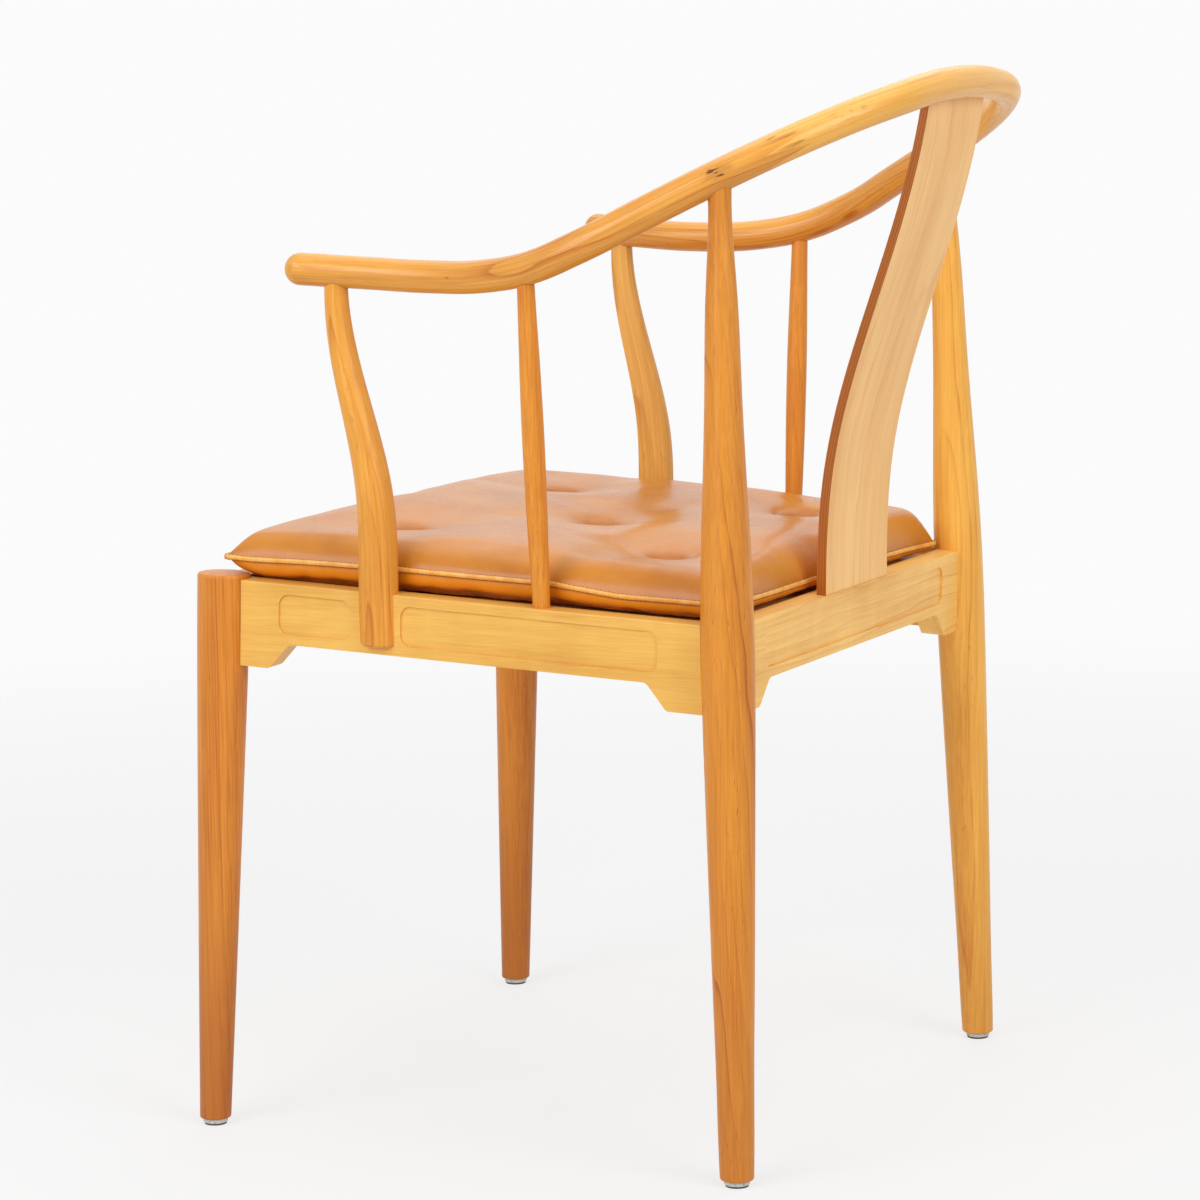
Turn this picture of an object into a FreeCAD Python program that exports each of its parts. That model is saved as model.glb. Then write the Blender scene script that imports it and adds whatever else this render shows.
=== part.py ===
import FreeCAD, Part
import math
import os
from FreeCAD import Placement, Rotation, Vector
from Sketcher import Constraint

# Horseshoe back armchair.
# Frame: +Z up, floor at z = 0, the chair faces -Y, the sitter's left is +X.
# The origin is on the floor, under the middle of the chair's bounding box.
# Pieces on the right are mirrored from those on the left.

DOC = FreeCAD.newDocument("armchair")
SHEET = DOC.addObject("Spreadsheet::Sheet", "sizes")

# One row for each size that can be set by itself: name, millimetres, or degrees for the angle.
SIZES = (
    # crest rail: centre line
    ("crest_arm_height", 673.0),
    ("crest_rise", 137.0),
    ("crest_half_span", 248.0),
    ("crest_depth", 438.5),
    ("crest_back_place", 267.2),
    ("crest_radius", 12.4),
    # finger joints of the crest rail
    ("finger_length", 36.0),
    ("finger_pitch", 10.3),
    # legs: centre lines at the floor, and of the front legs at the seat
    ("front_foot_half_span", 252.2),
    ("rear_foot_half_span", 240.1),
    ("front_foot_place", 268.0),
    ("rear_foot_place", 182.0),
    ("front_top_half_span", 241.6),
    ("front_top_place", 252.0),
    ("front_leg_rise", 4.1),
    # legs: turned radii
    ("front_foot_radius", 12.2),
    ("front_top_radius", 20.8),
    ("rear_foot_radius", 12.6),
    ("rear_seat_radius", 20.0),
    ("rear_top_radius", 9.4),
    ("foot_rounding", 1.6),
    ("leg_top_rounding", 2.2),
    ("leg_dome_radius", 170.0),
    ("leg_tenon_radius", 6.0),
    # seat frame
    ("seat_height", 426.3),
    ("seat_angle", 2.3),
    ("rail_depth", 47.0),
    ("rail_thickness", 20.0),
    ("rail_outset", 8.0),
    ("rail_edge_rounding", 1.2),
    ("spandrel_drop", 20.0),
    ("spandrel_flat", 24.0),
    ("spandrel_run", 17.0),
    ("spandrel_rounding", 5.0),
    ("spandrel_scoop", 7.0),
    ("tenon_thickness", 8.0),
    ("tenon_depth", 30.0),
    ("tenon_length", 10.0),
    ("recess_margin", 8.0),
    ("recess_end_margin", 32.0),
    ("recess_post_margin", 21.0),
    ("recess_rounding", 8.5),
    ("recess_cut", 1.6),
    # arm posts
    ("post_foot_place", 115.5),
    ("post_top_place", 145.0),
    ("post_foot_radius", 15.2),
    ("post_top_radius", 8.9),
    ("post_face_outset", 4.7),
    ("post_tip_rise", 6.0),
    ("post_tip_rounding", 3.5),
    ("post_tenon_radius", 5.0),
    # arm spindles
    ("spindle_foot_place", 19.3),
    ("spindle_foot_radius", 6.6),
    ("spindle_belly_radius", 8.4),
    ("spindle_top_radius", 6.6),
    ("spindle_tenon_radius", 4.5),
    # back splat
    ("splat_foot_width", 119.0),
    ("splat_top_width", 109.0),
    ("splat_foot_thickness", 8.0),
    ("splat_top_thickness", 6.6),
    ("splat_foot_place", 173.4),
    ("splat_lean", 86.0),
    ("splat_tongue", 7.0),
    # seat panel and corner blocks
    ("panel_thickness", 8.0),
    ("panel_drop", 6.0),
    ("panel_tongue", 4.0),
    ("block_leg", 56.0),
    ("block_height", 28.0),
    ("screw_radius", 1.9),
    ("screw_head_radius", 3.8),
    ("screw_head_height", 2.6),
    ("screw_length", 24.0),
    # glides
    ("glide_radius", 9.7),
    ("glide_height", 3.6),
    ("glide_rounding", 1.0),
    ("pad_height", 1.4),
    ("nail_radius", 1.2),
    ("nail_length", 14.0),
    ("nail_head_radius", 3.0),
    ("nail_head_height", 1.0),
    # cushion
    ("cushion_front_half_width", 245.0),
    ("cushion_rear_half_width", 205.0),
    ("cushion_front_place", 250.0),
    ("cushion_rear_place", 159.0),
    ("cushion_seam_height", 17.0),
    ("cushion_crown", 26.0),
    ("cushion_shoulder_width", 28.0),
    ("cushion_shoulder_rise", 17.0),
    ("cushion_under_width", 26.0),
    ("cushion_under_drop", 15.5),
    ("cushion_edge_thickness", 3.0),
    ("tuft_half_width", 38.0),
    ("tuft_depth", 12.0),
    ("tuft_half_pitch_across", 127.0),
    ("tuft_pitch_along", 112.0),
    ("tuft_centre_place", 43.0),
    # fits
    ("fit_gap", 0.15),
    ("cushion_gap", 0.3),
    ("cushion_side_gap", 0.6),
    ("cut_overrun", 30.0),
)
for row, (alias, value) in enumerate(SIZES, start=1):
    SHEET.set("A%d" % row, alias)
    SHEET.set("B%d" % row, repr(value))
    SHEET.setAlias("B%d" % row, alias)
DOC.recompute()


def size(alias):
    return float(SHEET.get(alias))


def of(alias):
    return "sizes." + alias


def bind(thing, **expressions):
    for name, expression in expressions.items():
        thing.setExpression(name.replace("__", "."), expression)
    return thing


def part(kind, name, **expressions):
    return bind(DOC.addObject("Part::" + kind, name), **expressions)


def cut(name, base, *tools):
    if len(tools) > 1:
        tool = DOC.addObject("Part::MultiFuse", name + "_tools")
        tool.Shapes = list(tools)
    else:
        tool = tools[0]
    result = DOC.addObject("Part::Cut", name)
    result.Base = base
    result.Tool = tool
    return result


def fuse(name, *pieces):
    result = DOC.addObject("Part::MultiFuse", name)
    result.Shapes = list(pieces)
    return result


def common(name, base, tool):
    result = DOC.addObject("Part::Common", name)
    result.Base = base
    result.Tool = tool
    return result


def mirrored(name, source):
    result = DOC.addObject("Part::Mirroring", name)
    result.Source = source
    result.Normal = Vector(1, 0, 0)
    return result


def between(start, end):
    """Placement whose local Z runs from start towards end, turned no more than it must."""
    return Placement(start, Rotation(Vector(0, 0, 1), end - start))


def new_body(name):
    return DOC.addObject("PartDesign::Body", name)


def plane_of(body, role):
    return next(f for f in body.Origin.OriginFeatures if f.Role == role)


def outline(body, name, role, corners):
    """Closed outline of straight lines; each corner is a pair of expressions."""
    sketch = body.newObject("Sketcher::SketchObject", name)
    sketch.AttachmentSupport = (plane_of(body, role), "")
    sketch.MapMode = "FlatFace"
    probe = DOC.addObject("App::FeaturePython", name + "_probe")
    points = []
    for u, v in corners:
        pair = []
        for text in (u, v):
            pair.append(float(probe.evalExpression(text)))
        points.append(Vector(pair[0], pair[1], 0))
    DOC.removeObject(probe.Name)
    count = len(points)
    for i in range(count):
        sketch.addGeometry(Part.LineSegment(points[i], points[(i + 1) % count]), False)
    for i in range(count):
        sketch.addConstraint(Constraint("Coincident", i, 2, (i + 1) % count, 1))
    for i, (u, v) in enumerate(corners):
        for kind, text, value in (("DistanceX", u, points[i].x), ("DistanceY", v, points[i].y)):
            if abs(value) < 1e-9:
                axis = -2 if kind == "DistanceX" else -1
                sketch.addConstraint(Constraint("PointOnObject", i, 1, axis))
            else:
                index = sketch.addConstraint(Constraint(kind, -1, 1, i, 1, value))
                sketch.setExpression("Constraints[%d]" % index, text)
    return sketch


def pad(body, sketch, name, length, midplane=False, reverse=False):
    feature = body.newObject("PartDesign::Pad", name)
    feature.Profile = sketch
    feature.setExpression("Length", length)
    feature.Midplane = midplane
    feature.Reversed = reverse
    body.Tip = feature
    return feature


def turned(name, stations, place):
    """Turned piece: a loft through circles on the local Z axis, at (height, radius) pairs."""
    rings = []
    for i, (height, radius) in enumerate(stations):
        ring = part("Circle", "%s_ring%d" % (name, i), Radius=radius)
        ring.setExpression("Placement.Base.z", height)
        rings.append(ring)
    loft = DOC.addObject("Part::Loft", name)
    loft.Sections = rings
    loft.Solid = True
    loft.Ruled = False
    loft.Placement = place
    return loft


def lofted(name, wires):
    """Loft through section wires that are worked out from the sizes."""
    sections = []
    for i, wire in enumerate(wires):
        section = DOC.addObject("Part::Feature", "%s_section%d" % (name, i))
        section.Shape = wire
        sections.append(section)
    loft = DOC.addObject("Part::Loft", name)
    loft.Sections = sections
    loft.Solid = True
    loft.Ruled = False
    return loft


def round_edges(name, base, radius, chosen):
    """Fillet of the base's edges that the test picks."""
    DOC.recompute()
    edges = [(i, radius, radius) for i, e in enumerate(base.Shape.Edges, start=1) if chosen(e)]
    result = DOC.addObject("Part::Fillet", name)
    result.Base = base
    result.Edges = edges
    return result


def pin(name, start, end, radius):
    """Round pin from start to end."""
    rod = part("Cylinder", name, Radius=radius)
    rod.Height = (end - start).Length
    rod.Placement = between(start, end)
    return rod


# Centre line of the crest rail.
# Points from the left arm's end to the middle of the back, as shares of the half
# span, of the depth from the back forwards, and of the rise from arms to back.
CREST_SHARES = (
    (1.004, 1.000, 0.030),
    (0.954, 0.887, 0.008),
    (0.944, 0.771, -0.006),
    (0.967, 0.661, 0.004),
    (0.996, 0.558, 0.060),
    (0.998, 0.455, 0.190),
    (0.934, 0.346, 0.373),
    (0.855, 0.2385, 0.553),
    (0.750, 0.143, 0.712),
    (0.603, 0.0675, 0.842),
    (0.424, 0.0176, 0.933),
    (0.220, 0.0036, 0.983),
)
crest_rise = size("crest_rise")
back_height = size("crest_arm_height") + crest_rise
back_point = Vector(0, size("crest_back_place"), back_height)
left_points = []
for across_share, depth_share, rise_share in CREST_SHARES:
    left_points.append(Vector(
        across_share * size("crest_half_span"),
        size("crest_back_place") - depth_share * size("crest_depth"),
        size("crest_arm_height") + rise_share * crest_rise,
    ))
crest_points = left_points + [back_point]
crest_points += [Vector(-p.x, p.y, p.z) for p in reversed(left_points)]


def tangents(points):
    """Direction of a smooth curve at each point, from its neighbours."""
    result = []
    last = len(points) - 1
    for i, p in enumerate(points):
        if i == 0 or i == last:
            a, b = (p, points[1]) if i == 0 else (points[last - 1], p)
            inner = points[2] - p if i == 0 else p - points[last - 2]
            direction = (b - a) * (2.0 / (b - a).Length) - inner * (1.0 / inner.Length)
        else:
            a = p - points[i - 1]
            b = points[i + 1] - p
            direction = a * (b.Length / a.Length) + b * (a.Length / b.Length)
        result.append(direction.normalize())
    return result


def arc_from(start, tangent, end):
    """Circular arc from start to end that leaves start along the tangent."""
    chord = end - start
    half = chord.Length / 2
    cosine = max(-1.0, min(1.0, chord.dot(tangent) / chord.Length))
    angle = math.acos(cosine)
    if angle < 1e-6:
        return Part.LineSegment(start, end)
    corner = start + tangent * (half / cosine)
    middle = start + chord * 0.5
    top = middle + (corner - middle).normalize() * (half * math.tan(angle / 2))
    return Part.Arc(start, top, end)


def biarcs(points):
    """Smooth path through the points, made of two tangent arcs for each span."""
    directions = tangents(points)
    curves = []
    for i in range(len(points) - 1):
        p, q = points[i], points[i + 1]
        s, t = directions[i], directions[i + 1]
        v = q - p
        b = v.dot(s + t)
        a = 2 * (s.dot(t) - 1)
        c = v.dot(v)
        if abs(a) < 1e-9:
            d = c / (2 * b)
        else:
            d = (2 * b - math.sqrt(4 * b * b - 4 * a * c)) / (2 * a)
            d = d if d > 0 else (2 * b + math.sqrt(4 * b * b - 4 * a * c)) / (2 * a)
        meet = (p + q + (s - t) * d) * 0.5
        first = arc_from(p, s, meet)
        back = arc_from(q, t * -1, meet)
        curves.append(first)
        if isinstance(back, Part.LineSegment):
            curves.append(Part.LineSegment(meet, q))
        else:
            middle = back.value((back.FirstParameter + back.LastParameter) / 2)
            curves.append(Part.Arc(meet, middle, q))
    return curves


crest_curves = biarcs(crest_points)
crest_path = DOC.addObject("Part::Feature", "crest_path")
crest_path.Shape = Part.Wire([c.toShape() for c in crest_curves])
crest_length = crest_path.Shape.Length
crest_edges = ["Edge%d" % (i + 1) for i in range(len(crest_curves))]


def on_crest(test):
    """Point and direction on the left half of the crest rail where the test is least."""
    best = None
    half = crest_path.Shape.Edges[:len(crest_path.Shape.Edges) // 2]
    for edge in half:
        steps = 24
        for k in range(steps + 1):
            u = edge.FirstParameter + (edge.LastParameter - edge.FirstParameter) * k / steps
            p = edge.valueAt(u)
            score = test(p)
            if best is None or score < best[0]:
                direction = edge.tangentAt(u)
                best = (score, p, direction)
    direction = best[2]
    if direction.y < 0:
        direction = direction * -1
    return best[1], direction


def crest_tube(name, radius):
    ring = part("Circle", name + "_ring", Radius=radius)
    start = crest_points[0]
    ring.Placement = between(start, start + tangents(crest_points)[0])
    tube = DOC.addObject("Part::Sweep", name + "_tube")
    tube.Sections = [ring]
    tube.Spine = (crest_path, crest_edges)
    tube.Solid = True
    tube.Frenet = False
    balls = []
    for i, centre in enumerate((crest_points[0], crest_points[-1])):
        ball = part("Sphere", "%s_end%d" % (name, i), Radius=radius)
        ball.Placement = Placement(centre, Rotation())
        balls.append(ball)
    return fuse(name, tube, *balls)


crest_whole = crest_tube("crest_whole", of("crest_radius"))
crest_clearance = crest_tube("crest_clearance", of("crest_radius") + " + " + of("fit_gap"))

# Seat frame.
# The rails lie in a plane that falls from front to back.
seat = Placement(Vector(0, 0, size("seat_height")), Rotation(Vector(1, 0, 0), -size("seat_angle")))


def in_seat(point):
    return seat.inverse().multVec(point)


def at_seat_plane(start, end):
    """Where the line from start to end meets the seat plane, in the seat's own frame."""
    a, b = in_seat(start), in_seat(end)
    return a + (b - a) * (a.z / (a.z - b.z))


ground = size("glide_height") + size("pad_height")
seat_fall = math.tan(math.radians(size("seat_angle")))
front_leg_height = size("seat_height") + seat_fall * size("front_top_place") + size("front_leg_rise")
front_foot = Vector(size("front_foot_half_span"), -size("front_foot_place"), 0)
front_top = Vector(size("front_top_half_span"), -size("front_top_place"), front_leg_height)
rear_foot = Vector(size("rear_foot_half_span"), size("rear_foot_place"), 0)
REAR_TOP_SHARE = 0.553
rear_joint_height = size("crest_arm_height") + REAR_TOP_SHARE * crest_rise
rear_top = on_crest(lambda p: abs(p.z - rear_joint_height))[0]
front_seat = at_seat_plane(front_foot, front_top)
rear_seat = at_seat_plane(rear_foot, rear_top)

# Legs.
# Stations of the turned legs: share of the height to the seat, and share of the
# growth from the foot's radius to the radius at the seat.
FRONT_LEG_SHARES = ((0.0, 0.0), (0.20, 0.235), (0.40, 0.455), (0.60, 0.67), (0.80, 0.87), (1.0, 1.0))
LOWER_LEG_SHARES = ((0.0, 0.0), (0.17, 0.20), (0.36, 0.43), (0.56, 0.665), (0.76, 0.88), (0.96, 1.0))
# Above the seat: share of the height from the seat to the crest rail, and share of
# the radius that is lost on the way up.
UPPER_LEG_SHARES = ((0.13, 0.10), (0.29, 0.30), (0.50, 0.555), (0.75, 0.80), (1.0, 1.0))


def front_leg_stations(extra):
    reach = (front_top - front_foot).Length
    rows = []
    for height_share, growth_share in FRONT_LEG_SHARES:
        radius = "%s + %r * (%s - %s)%s" % (
            of("front_foot_radius"), growth_share, of("front_top_radius"), of("front_foot_radius"), extra)
        rows.append((repr(height_share * reach), radius))
    return rows


def rear_leg_stations(extra):
    axis = rear_top - rear_foot
    to_seat = (seat.multVec(rear_seat) - rear_foot).Length
    above = axis.Length - to_seat
    rows = []
    for height_share, growth_share in LOWER_LEG_SHARES:
        radius = "%s + %r * (%s - %s)%s" % (
            of("rear_foot_radius"), growth_share, of("rear_seat_radius"), of("rear_foot_radius"), extra)
        rows.append((repr(height_share * to_seat), radius))
    for height_share, loss_share in UPPER_LEG_SHARES:
        radius = "%s - %r * (%s - %s)%s" % (
            of("rear_seat_radius"), loss_share, of("rear_seat_radius"), of("rear_top_radius"), extra)
        rows.append((repr(to_seat + height_share * above), radius))
    return rows


wide = " + " + of("fit_gap")
front_turned = turned("front_turned", front_leg_stations(""), between(front_foot, front_top))
rear_turned = turned("rear_turned", rear_leg_stations(""), between(rear_foot, rear_top))
front_clearance = turned("front_clearance", front_leg_stations(wide), between(front_foot, front_top))
rear_clearance = turned("rear_clearance", rear_leg_stations(wide), between(rear_foot, rear_top))


def below_floor(name, foot, radius_alias):
    """Block that trims a leg's foot level, so that its glide lies flat on the floor."""
    side = "4 * " + of(radius_alias)
    block = part("Box", name, Length=side, Width=side, Height=side)
    half = 2 * size(radius_alias)
    block.Placement.Base = Vector(foot.x - half, foot.y - half, 0)
    block.setExpression("Placement.Base.z", "%s + %s - %s" % (of("glide_height"), of("pad_height"), side))
    return block


def foot_centre(foot, top, height):
    return foot + (top - foot) * (height / (top.z - foot.z))


front_glide_place = foot_centre(front_foot, front_top, ground)
rear_glide_place = foot_centre(rear_foot, rear_top, ground)
front_glide_place.z = 0
rear_glide_place.z = 0

# Seat rails.
# Side rail in its own frame: X from the front leg's centre line to the rear leg's,
# Y outwards, Z up from the rail's top edge.
side_run = rear_seat - front_seat
side_run.z = 0
side_angle = math.degrees(math.atan2(side_run.y, side_run.x))
side_place = seat * Placement(Vector(front_seat.x, front_seat.y, 0), Rotation(Vector(0, 0, 1), side_angle))
side_length = side_run.Length
rear_length = 2 * rear_seat.x
front_length = 2 * front_seat.x


def rail_outline(length, radius_alias, far_radius_alias, flat_alias="spandrel_flat"):
    """Corners of a rail's face, between two leg centre lines, with a spandrel at each leg."""
    deep = "-(%s)" % of("rail_depth")
    low = "-(%s + %s)" % (of("rail_depth"), of("spandrel_drop"))
    near = "%s + %s" % (of(radius_alias), of(flat_alias))
    near_run = "%s + %s" % (near, of("spandrel_run"))
    far = "%r - %s - %s" % (length, of(far_radius_alias), of(flat_alias))
    far_run = "%s - %s" % (far, of("spandrel_run"))
    return (
        ("0", "0"), (repr(length), "0"), (repr(length), low), (far, low), (far_run, deep),
        (near_run, deep), (near, low), ("0", low),
    )


def plain_rail(name, length, radius_alias, far_radius_alias, place):
    """Rail blank with its spandrels' rounded corners and scoops."""
    body = new_body(name)
    corners = rail_outline(length, radius_alias, far_radius_alias)
    sketch = outline(body, name + "_outline", "XZ_Plane", corners)
    pad(body, sketch, name + "_pad", of("rail_thickness"))
    DOC.recompute()
    low = -(size("rail_depth") + size("spandrel_drop"))
    deep = -size("rail_depth")
    tiny = 0.001 * size("rail_depth")

    def corner(edge, height):
        box = edge.BoundBox
        level = box.ZLength < tiny and abs(box.ZMin - height) < tiny
        along = box.YLength > 0.5 * size("rail_thickness") and box.XLength < tiny
        inside = 0.5 * size("spandrel_flat") < box.XMin < length - 0.5 * size("spandrel_flat")
        return level and along and inside

    def top(edge, height):
        box = edge.BoundBox
        return box.ZMin > height - tiny and box.XLength > 0.5 * length

    for tag, height, alias, chosen in (("toe", low, "spandrel_rounding", corner),
                                       ("scoop", deep, "spandrel_scoop", corner),
                                       ("edge", 0, "rail_edge_rounding", top)):
        base = body.Tip
        names = ["Edge%d" % i for i, e in enumerate(base.Shape.Edges, start=1) if chosen(e, height)]
        rounding = body.newObject("PartDesign::Fillet", "%s_%s" % (name, tag))
        rounding.Base = (base, names)
        rounding.setExpression("Radius", of(alias))
        body.Tip = rounding
        DOC.recompute()
    body.Placement = place
    return body


def recess(name, start, length, place):
    """Rounded block that sinks a shallow panel into a rail's outer face."""
    block = part("Box", name + "_block")
    block.Length = length
    block.Width = 2 * size("recess_cut")
    block.Height = size("rail_depth") - 2 * size("recess_margin")
    DOC.recompute()
    thick = size("recess_cut")
    rounded = round_edges(
        name, block, size("recess_rounding"),
        lambda e: e.BoundBox.YLength > thick and e.Length < 3 * thick)
    corner = Vector(start, -size("rail_thickness") - thick, size("recess_margin") - size("rail_depth"))
    rounded.Placement = place * Placement(corner, Rotation())
    return rounded


def tenon(name, place, start, length, extra):
    """Block at a rail's end that enters the leg's mortise."""
    block = part("Box", name)
    block.Length = length + 2 * extra
    block.Width = size("tenon_thickness") + 2 * extra
    block.Height = size("tenon_depth") + 2 * extra
    side = -(size("rail_thickness") + size("tenon_thickness")) / 2 - extra
    low = -(size("rail_depth") + size("tenon_depth")) / 2 - extra
    block.Placement = place * Placement(Vector(start - extra, side, low), Rotation())
    return block


# Each rail's frame has X along the rail, its outer face at Y = -rail_thickness, its
# inner face at Y = 0 and its top edge at Z = 0. X runs anticlockwise from above.
inset = Placement(Vector(0, size("rail_thickness") - size("rail_outset"), 0), Rotation())
side_place = side_place * inset
rear_place = seat * Placement(Vector(rear_seat.x, rear_seat.y, 0), Rotation(Vector(0, 0, 1), 180)) * inset
front_place = seat * Placement(Vector(-front_seat.x, front_seat.y, 0), Rotation()) * inset

side_blank = plain_rail("side_blank", side_length, "front_top_radius", "rear_seat_radius", side_place)
rear_blank = plain_rail("rear_blank", rear_length, "rear_seat_radius", "rear_seat_radius", rear_place)
front_blank = plain_rail("front_blank", front_length, "front_top_radius", "front_top_radius", front_place)

# Rail tenons and the mortises that take them.
# Rows: name, the rail's frame, the kind of leg, and 1 at the rail's start or -1 at its end.
rail_ends = (
    ("side_front", side_place, "front", 1),
    ("side_rear", side_place, "rear", -1),
    ("rear_left", rear_place, "rear", 1),
    ("rear_right", rear_place, "rear", -1),
    ("front_right", front_place, "front", 1),
    ("front_left", front_place, "front", -1),
)
run_of = {"side": side_length, "rear": rear_length, "front": front_length}
leg_radius = {"front": size("front_top_radius"), "rear": size("rear_seat_radius")}
tenons = {}
mortises = {}
for name, place, leg, way in rail_ends:
    depth = size("tenon_length")
    reach = 2 * depth
    start = leg_radius[leg] - depth
    if way < 0:
        start = run_of[name.split("_")[0]] - start - reach
    tenons[name] = tenon("tenon_" + name, place, start, reach, 0)
    mortises[name] = tenon("mortise_" + name, place, start, reach, size("fit_gap"))

# Arm posts: goose-neck, round outside with a flat inner face.
# Rows: share of the rise from the rail to the crest rail, or of the rail's depth where
# it is below the rail's top, share of the forward sweep, and share of the growth from
# the top's radius to the foot's.
POST_SHARES = (
    (-1.350, 0.0, 1.0),
    (-0.520, 0.0, 1.0),
    (0.050, -0.003, 1.0),
    (0.200, -0.010, 0.935),
    (0.360, 0.105, 0.79),
    (0.520, 0.390, 0.59),
    (0.680, 0.725, 0.385),
    (0.840, 0.965, 0.155),
    (1.000, 1.0, 0.0),
)
POST_FLAT_SHARE = 0.62
post_joint = on_crest(lambda p: abs(p.y + size("post_top_place")))[0]
along = (-size("post_foot_place") - front_seat.y) / math.cos(math.radians(side_angle - 90))
post_foot = side_place.multVec(Vector(along, size("post_face_outset") - size("rail_thickness"), 0))
post_top = Vector(post_joint.x, -size("post_top_place"), post_joint.z)


def post_section(height_share, sweep_share, growth_share):
    rise = post_top.z - post_foot.z if height_share > 0 else size("rail_depth")
    centre = Vector(
        post_foot.x + (post_top.x - post_foot.x) * max(0, height_share),
        post_foot.y + (post_top.y - post_foot.y) * sweep_share,
        post_foot.z + rise * height_share,
    )
    radius = size("post_top_radius") + growth_share * (size("post_foot_radius") - size("post_top_radius"))
    half = math.sqrt(1 - POST_FLAT_SHARE ** 2) * radius
    back = centre + Vector(-POST_FLAT_SHARE * radius, half, 0)
    front = centre + Vector(-POST_FLAT_SHARE * radius, -half, 0)
    outer = centre + Vector(radius, 0, 0)
    slant = radius * math.sqrt(0.5)
    first = Part.Arc(front, centre + Vector(slant, -slant, 0), outer).toShape()
    second = Part.Arc(outer, centre + Vector(slant, slant, 0), back).toShape()
    return Part.Wire([first, second, Part.LineSegment(back, front).toShape()])


post_blank = lofted("post_blank", [post_section(*row) for row in POST_SHARES])
post_notch = part("Box", "post_notch")
post_notch.Length = 6 * size("post_foot_radius")
post_notch.Width = 4 * size("post_foot_radius")
post_notch.Height = 2 * size("rail_depth")
post_start = along - 3 * size("post_foot_radius")
post_notch.Placement = side_place * Placement(
    Vector(post_start, -size("rail_thickness"), -2 * size("rail_depth")), Rotation())
post_tip = part("Box", "post_tip")
post_tip.Length = 6 * size("post_foot_radius")
post_tip.Width = 6 * size("post_foot_radius")
post_tip.Height = 2 * size("rail_depth")
post_tip.Placement = side_place * Placement(
    Vector(post_start, -size("rail_thickness") - 3 * size("post_foot_radius"),
           size("post_tip_rise") - 3 * size("rail_depth")), Rotation())
post_cut = cut("post_cut", post_blank, post_notch, post_tip, crest_clearance)
DOC.recompute()
tip_level = side_place.inverse()


def at_tip(edge):
    points = [tip_level.multVec(edge.valueAt(u)) for u in (edge.FirstParameter, edge.LastParameter)]
    level = size("post_tip_rise") - size("rail_depth")
    low = all(abs(p.z - level) < 0.01 * size("rail_depth") for p in points)
    curved = max(edge.BoundBox.XLength, edge.BoundBox.YLength) < 0.999 * edge.Length
    return low and curved


post_rounded = round_edges("post_rounded", post_cut, size("post_tip_rounding"), at_tip)
post_tenon_end = Vector(post_top.x, post_top.y, post_joint.z + size("crest_radius") / 4)
post_tenon_start = Vector(post_top.x, post_top.y, post_joint.z - 2 * size("crest_radius"))
post_pin = pin("post_pin", post_tenon_start, post_tenon_end, of("post_tenon_radius"))
post_bore = pin("post_bore", post_tenon_start, post_tenon_end + Vector(0, 0, size("fit_gap")),
                of("post_tenon_radius") + wide)
arm_post_left = fuse("arm_post_left", post_rounded, post_pin)

# Arm spindles: turned, with a slight belly, leaning outwards to the crest rail.
SPINDLE_SHARES = (
    (-0.02, 0.0, 0.0), (0.06, 0.16, 0.0), (0.25, 0.68, 0.0), (0.49, 1.0, 0.0),
    (0.70, 0.0, 0.28), (0.86, 0.0, 0.75), (1.0, 0.0, 1.0),
)
spindle_joint = on_crest(lambda p: abs(p.y - size("spindle_foot_place")))[0]
spindle_along = (size("spindle_foot_place") - front_seat.y) / math.cos(math.radians(side_angle - 90))
spindle_foot = side_place.multVec(Vector(spindle_along, -size("rail_thickness") / 2, 0))
spindle_run = (spindle_joint - spindle_foot).Length
stations = []
for height_share, growth_share, loss_share in SPINDLE_SHARES:
    if loss_share == 0.0:
        radius = "%s + %r * (%s - %s)" % (of("spindle_foot_radius"), growth_share,
                                          of("spindle_belly_radius"), of("spindle_foot_radius"))
    else:
        radius = "%s - %r * (%s - %s)" % (of("spindle_belly_radius"), loss_share,
                                          of("spindle_belly_radius"), of("spindle_top_radius"))
    stations.append((repr(height_share * spindle_run), radius))
spindle_turned = turned("spindle_turned", stations, between(spindle_foot, spindle_joint))
below_rail = part("Box", "below_rail")
below_rail.Length = 6 * size("spindle_foot_radius")
below_rail.Width = 6 * size("spindle_foot_radius")
below_rail.Height = 2 * size("rail_depth")
spindle_room = 3 * size("spindle_foot_radius")
below_rail.Placement = side_place * Placement(
    Vector(spindle_along - spindle_room, -size("rail_thickness") / 2 - spindle_room, -2 * size("rail_depth")),
    Rotation())
spindle_cut = cut("spindle_cut", spindle_turned, below_rail, crest_clearance)
spindle_axis = (spindle_joint - spindle_foot).normalize()
pin_start = spindle_foot - spindle_axis * (2.5 * size("spindle_tenon_radius"))
pin_end = spindle_joint + spindle_axis * (size("crest_radius") / 4)
gap = spindle_axis * size("fit_gap")
spindle_pin = pin("spindle_pin", pin_start, pin_end, of("spindle_tenon_radius"))
spindle_bore = pin("spindle_bore", pin_start - gap, pin_end + gap, of("spindle_tenon_radius") + wide)
arm_spindle_left = fuse("arm_spindle_left", spindle_cut, spindle_pin)

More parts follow.
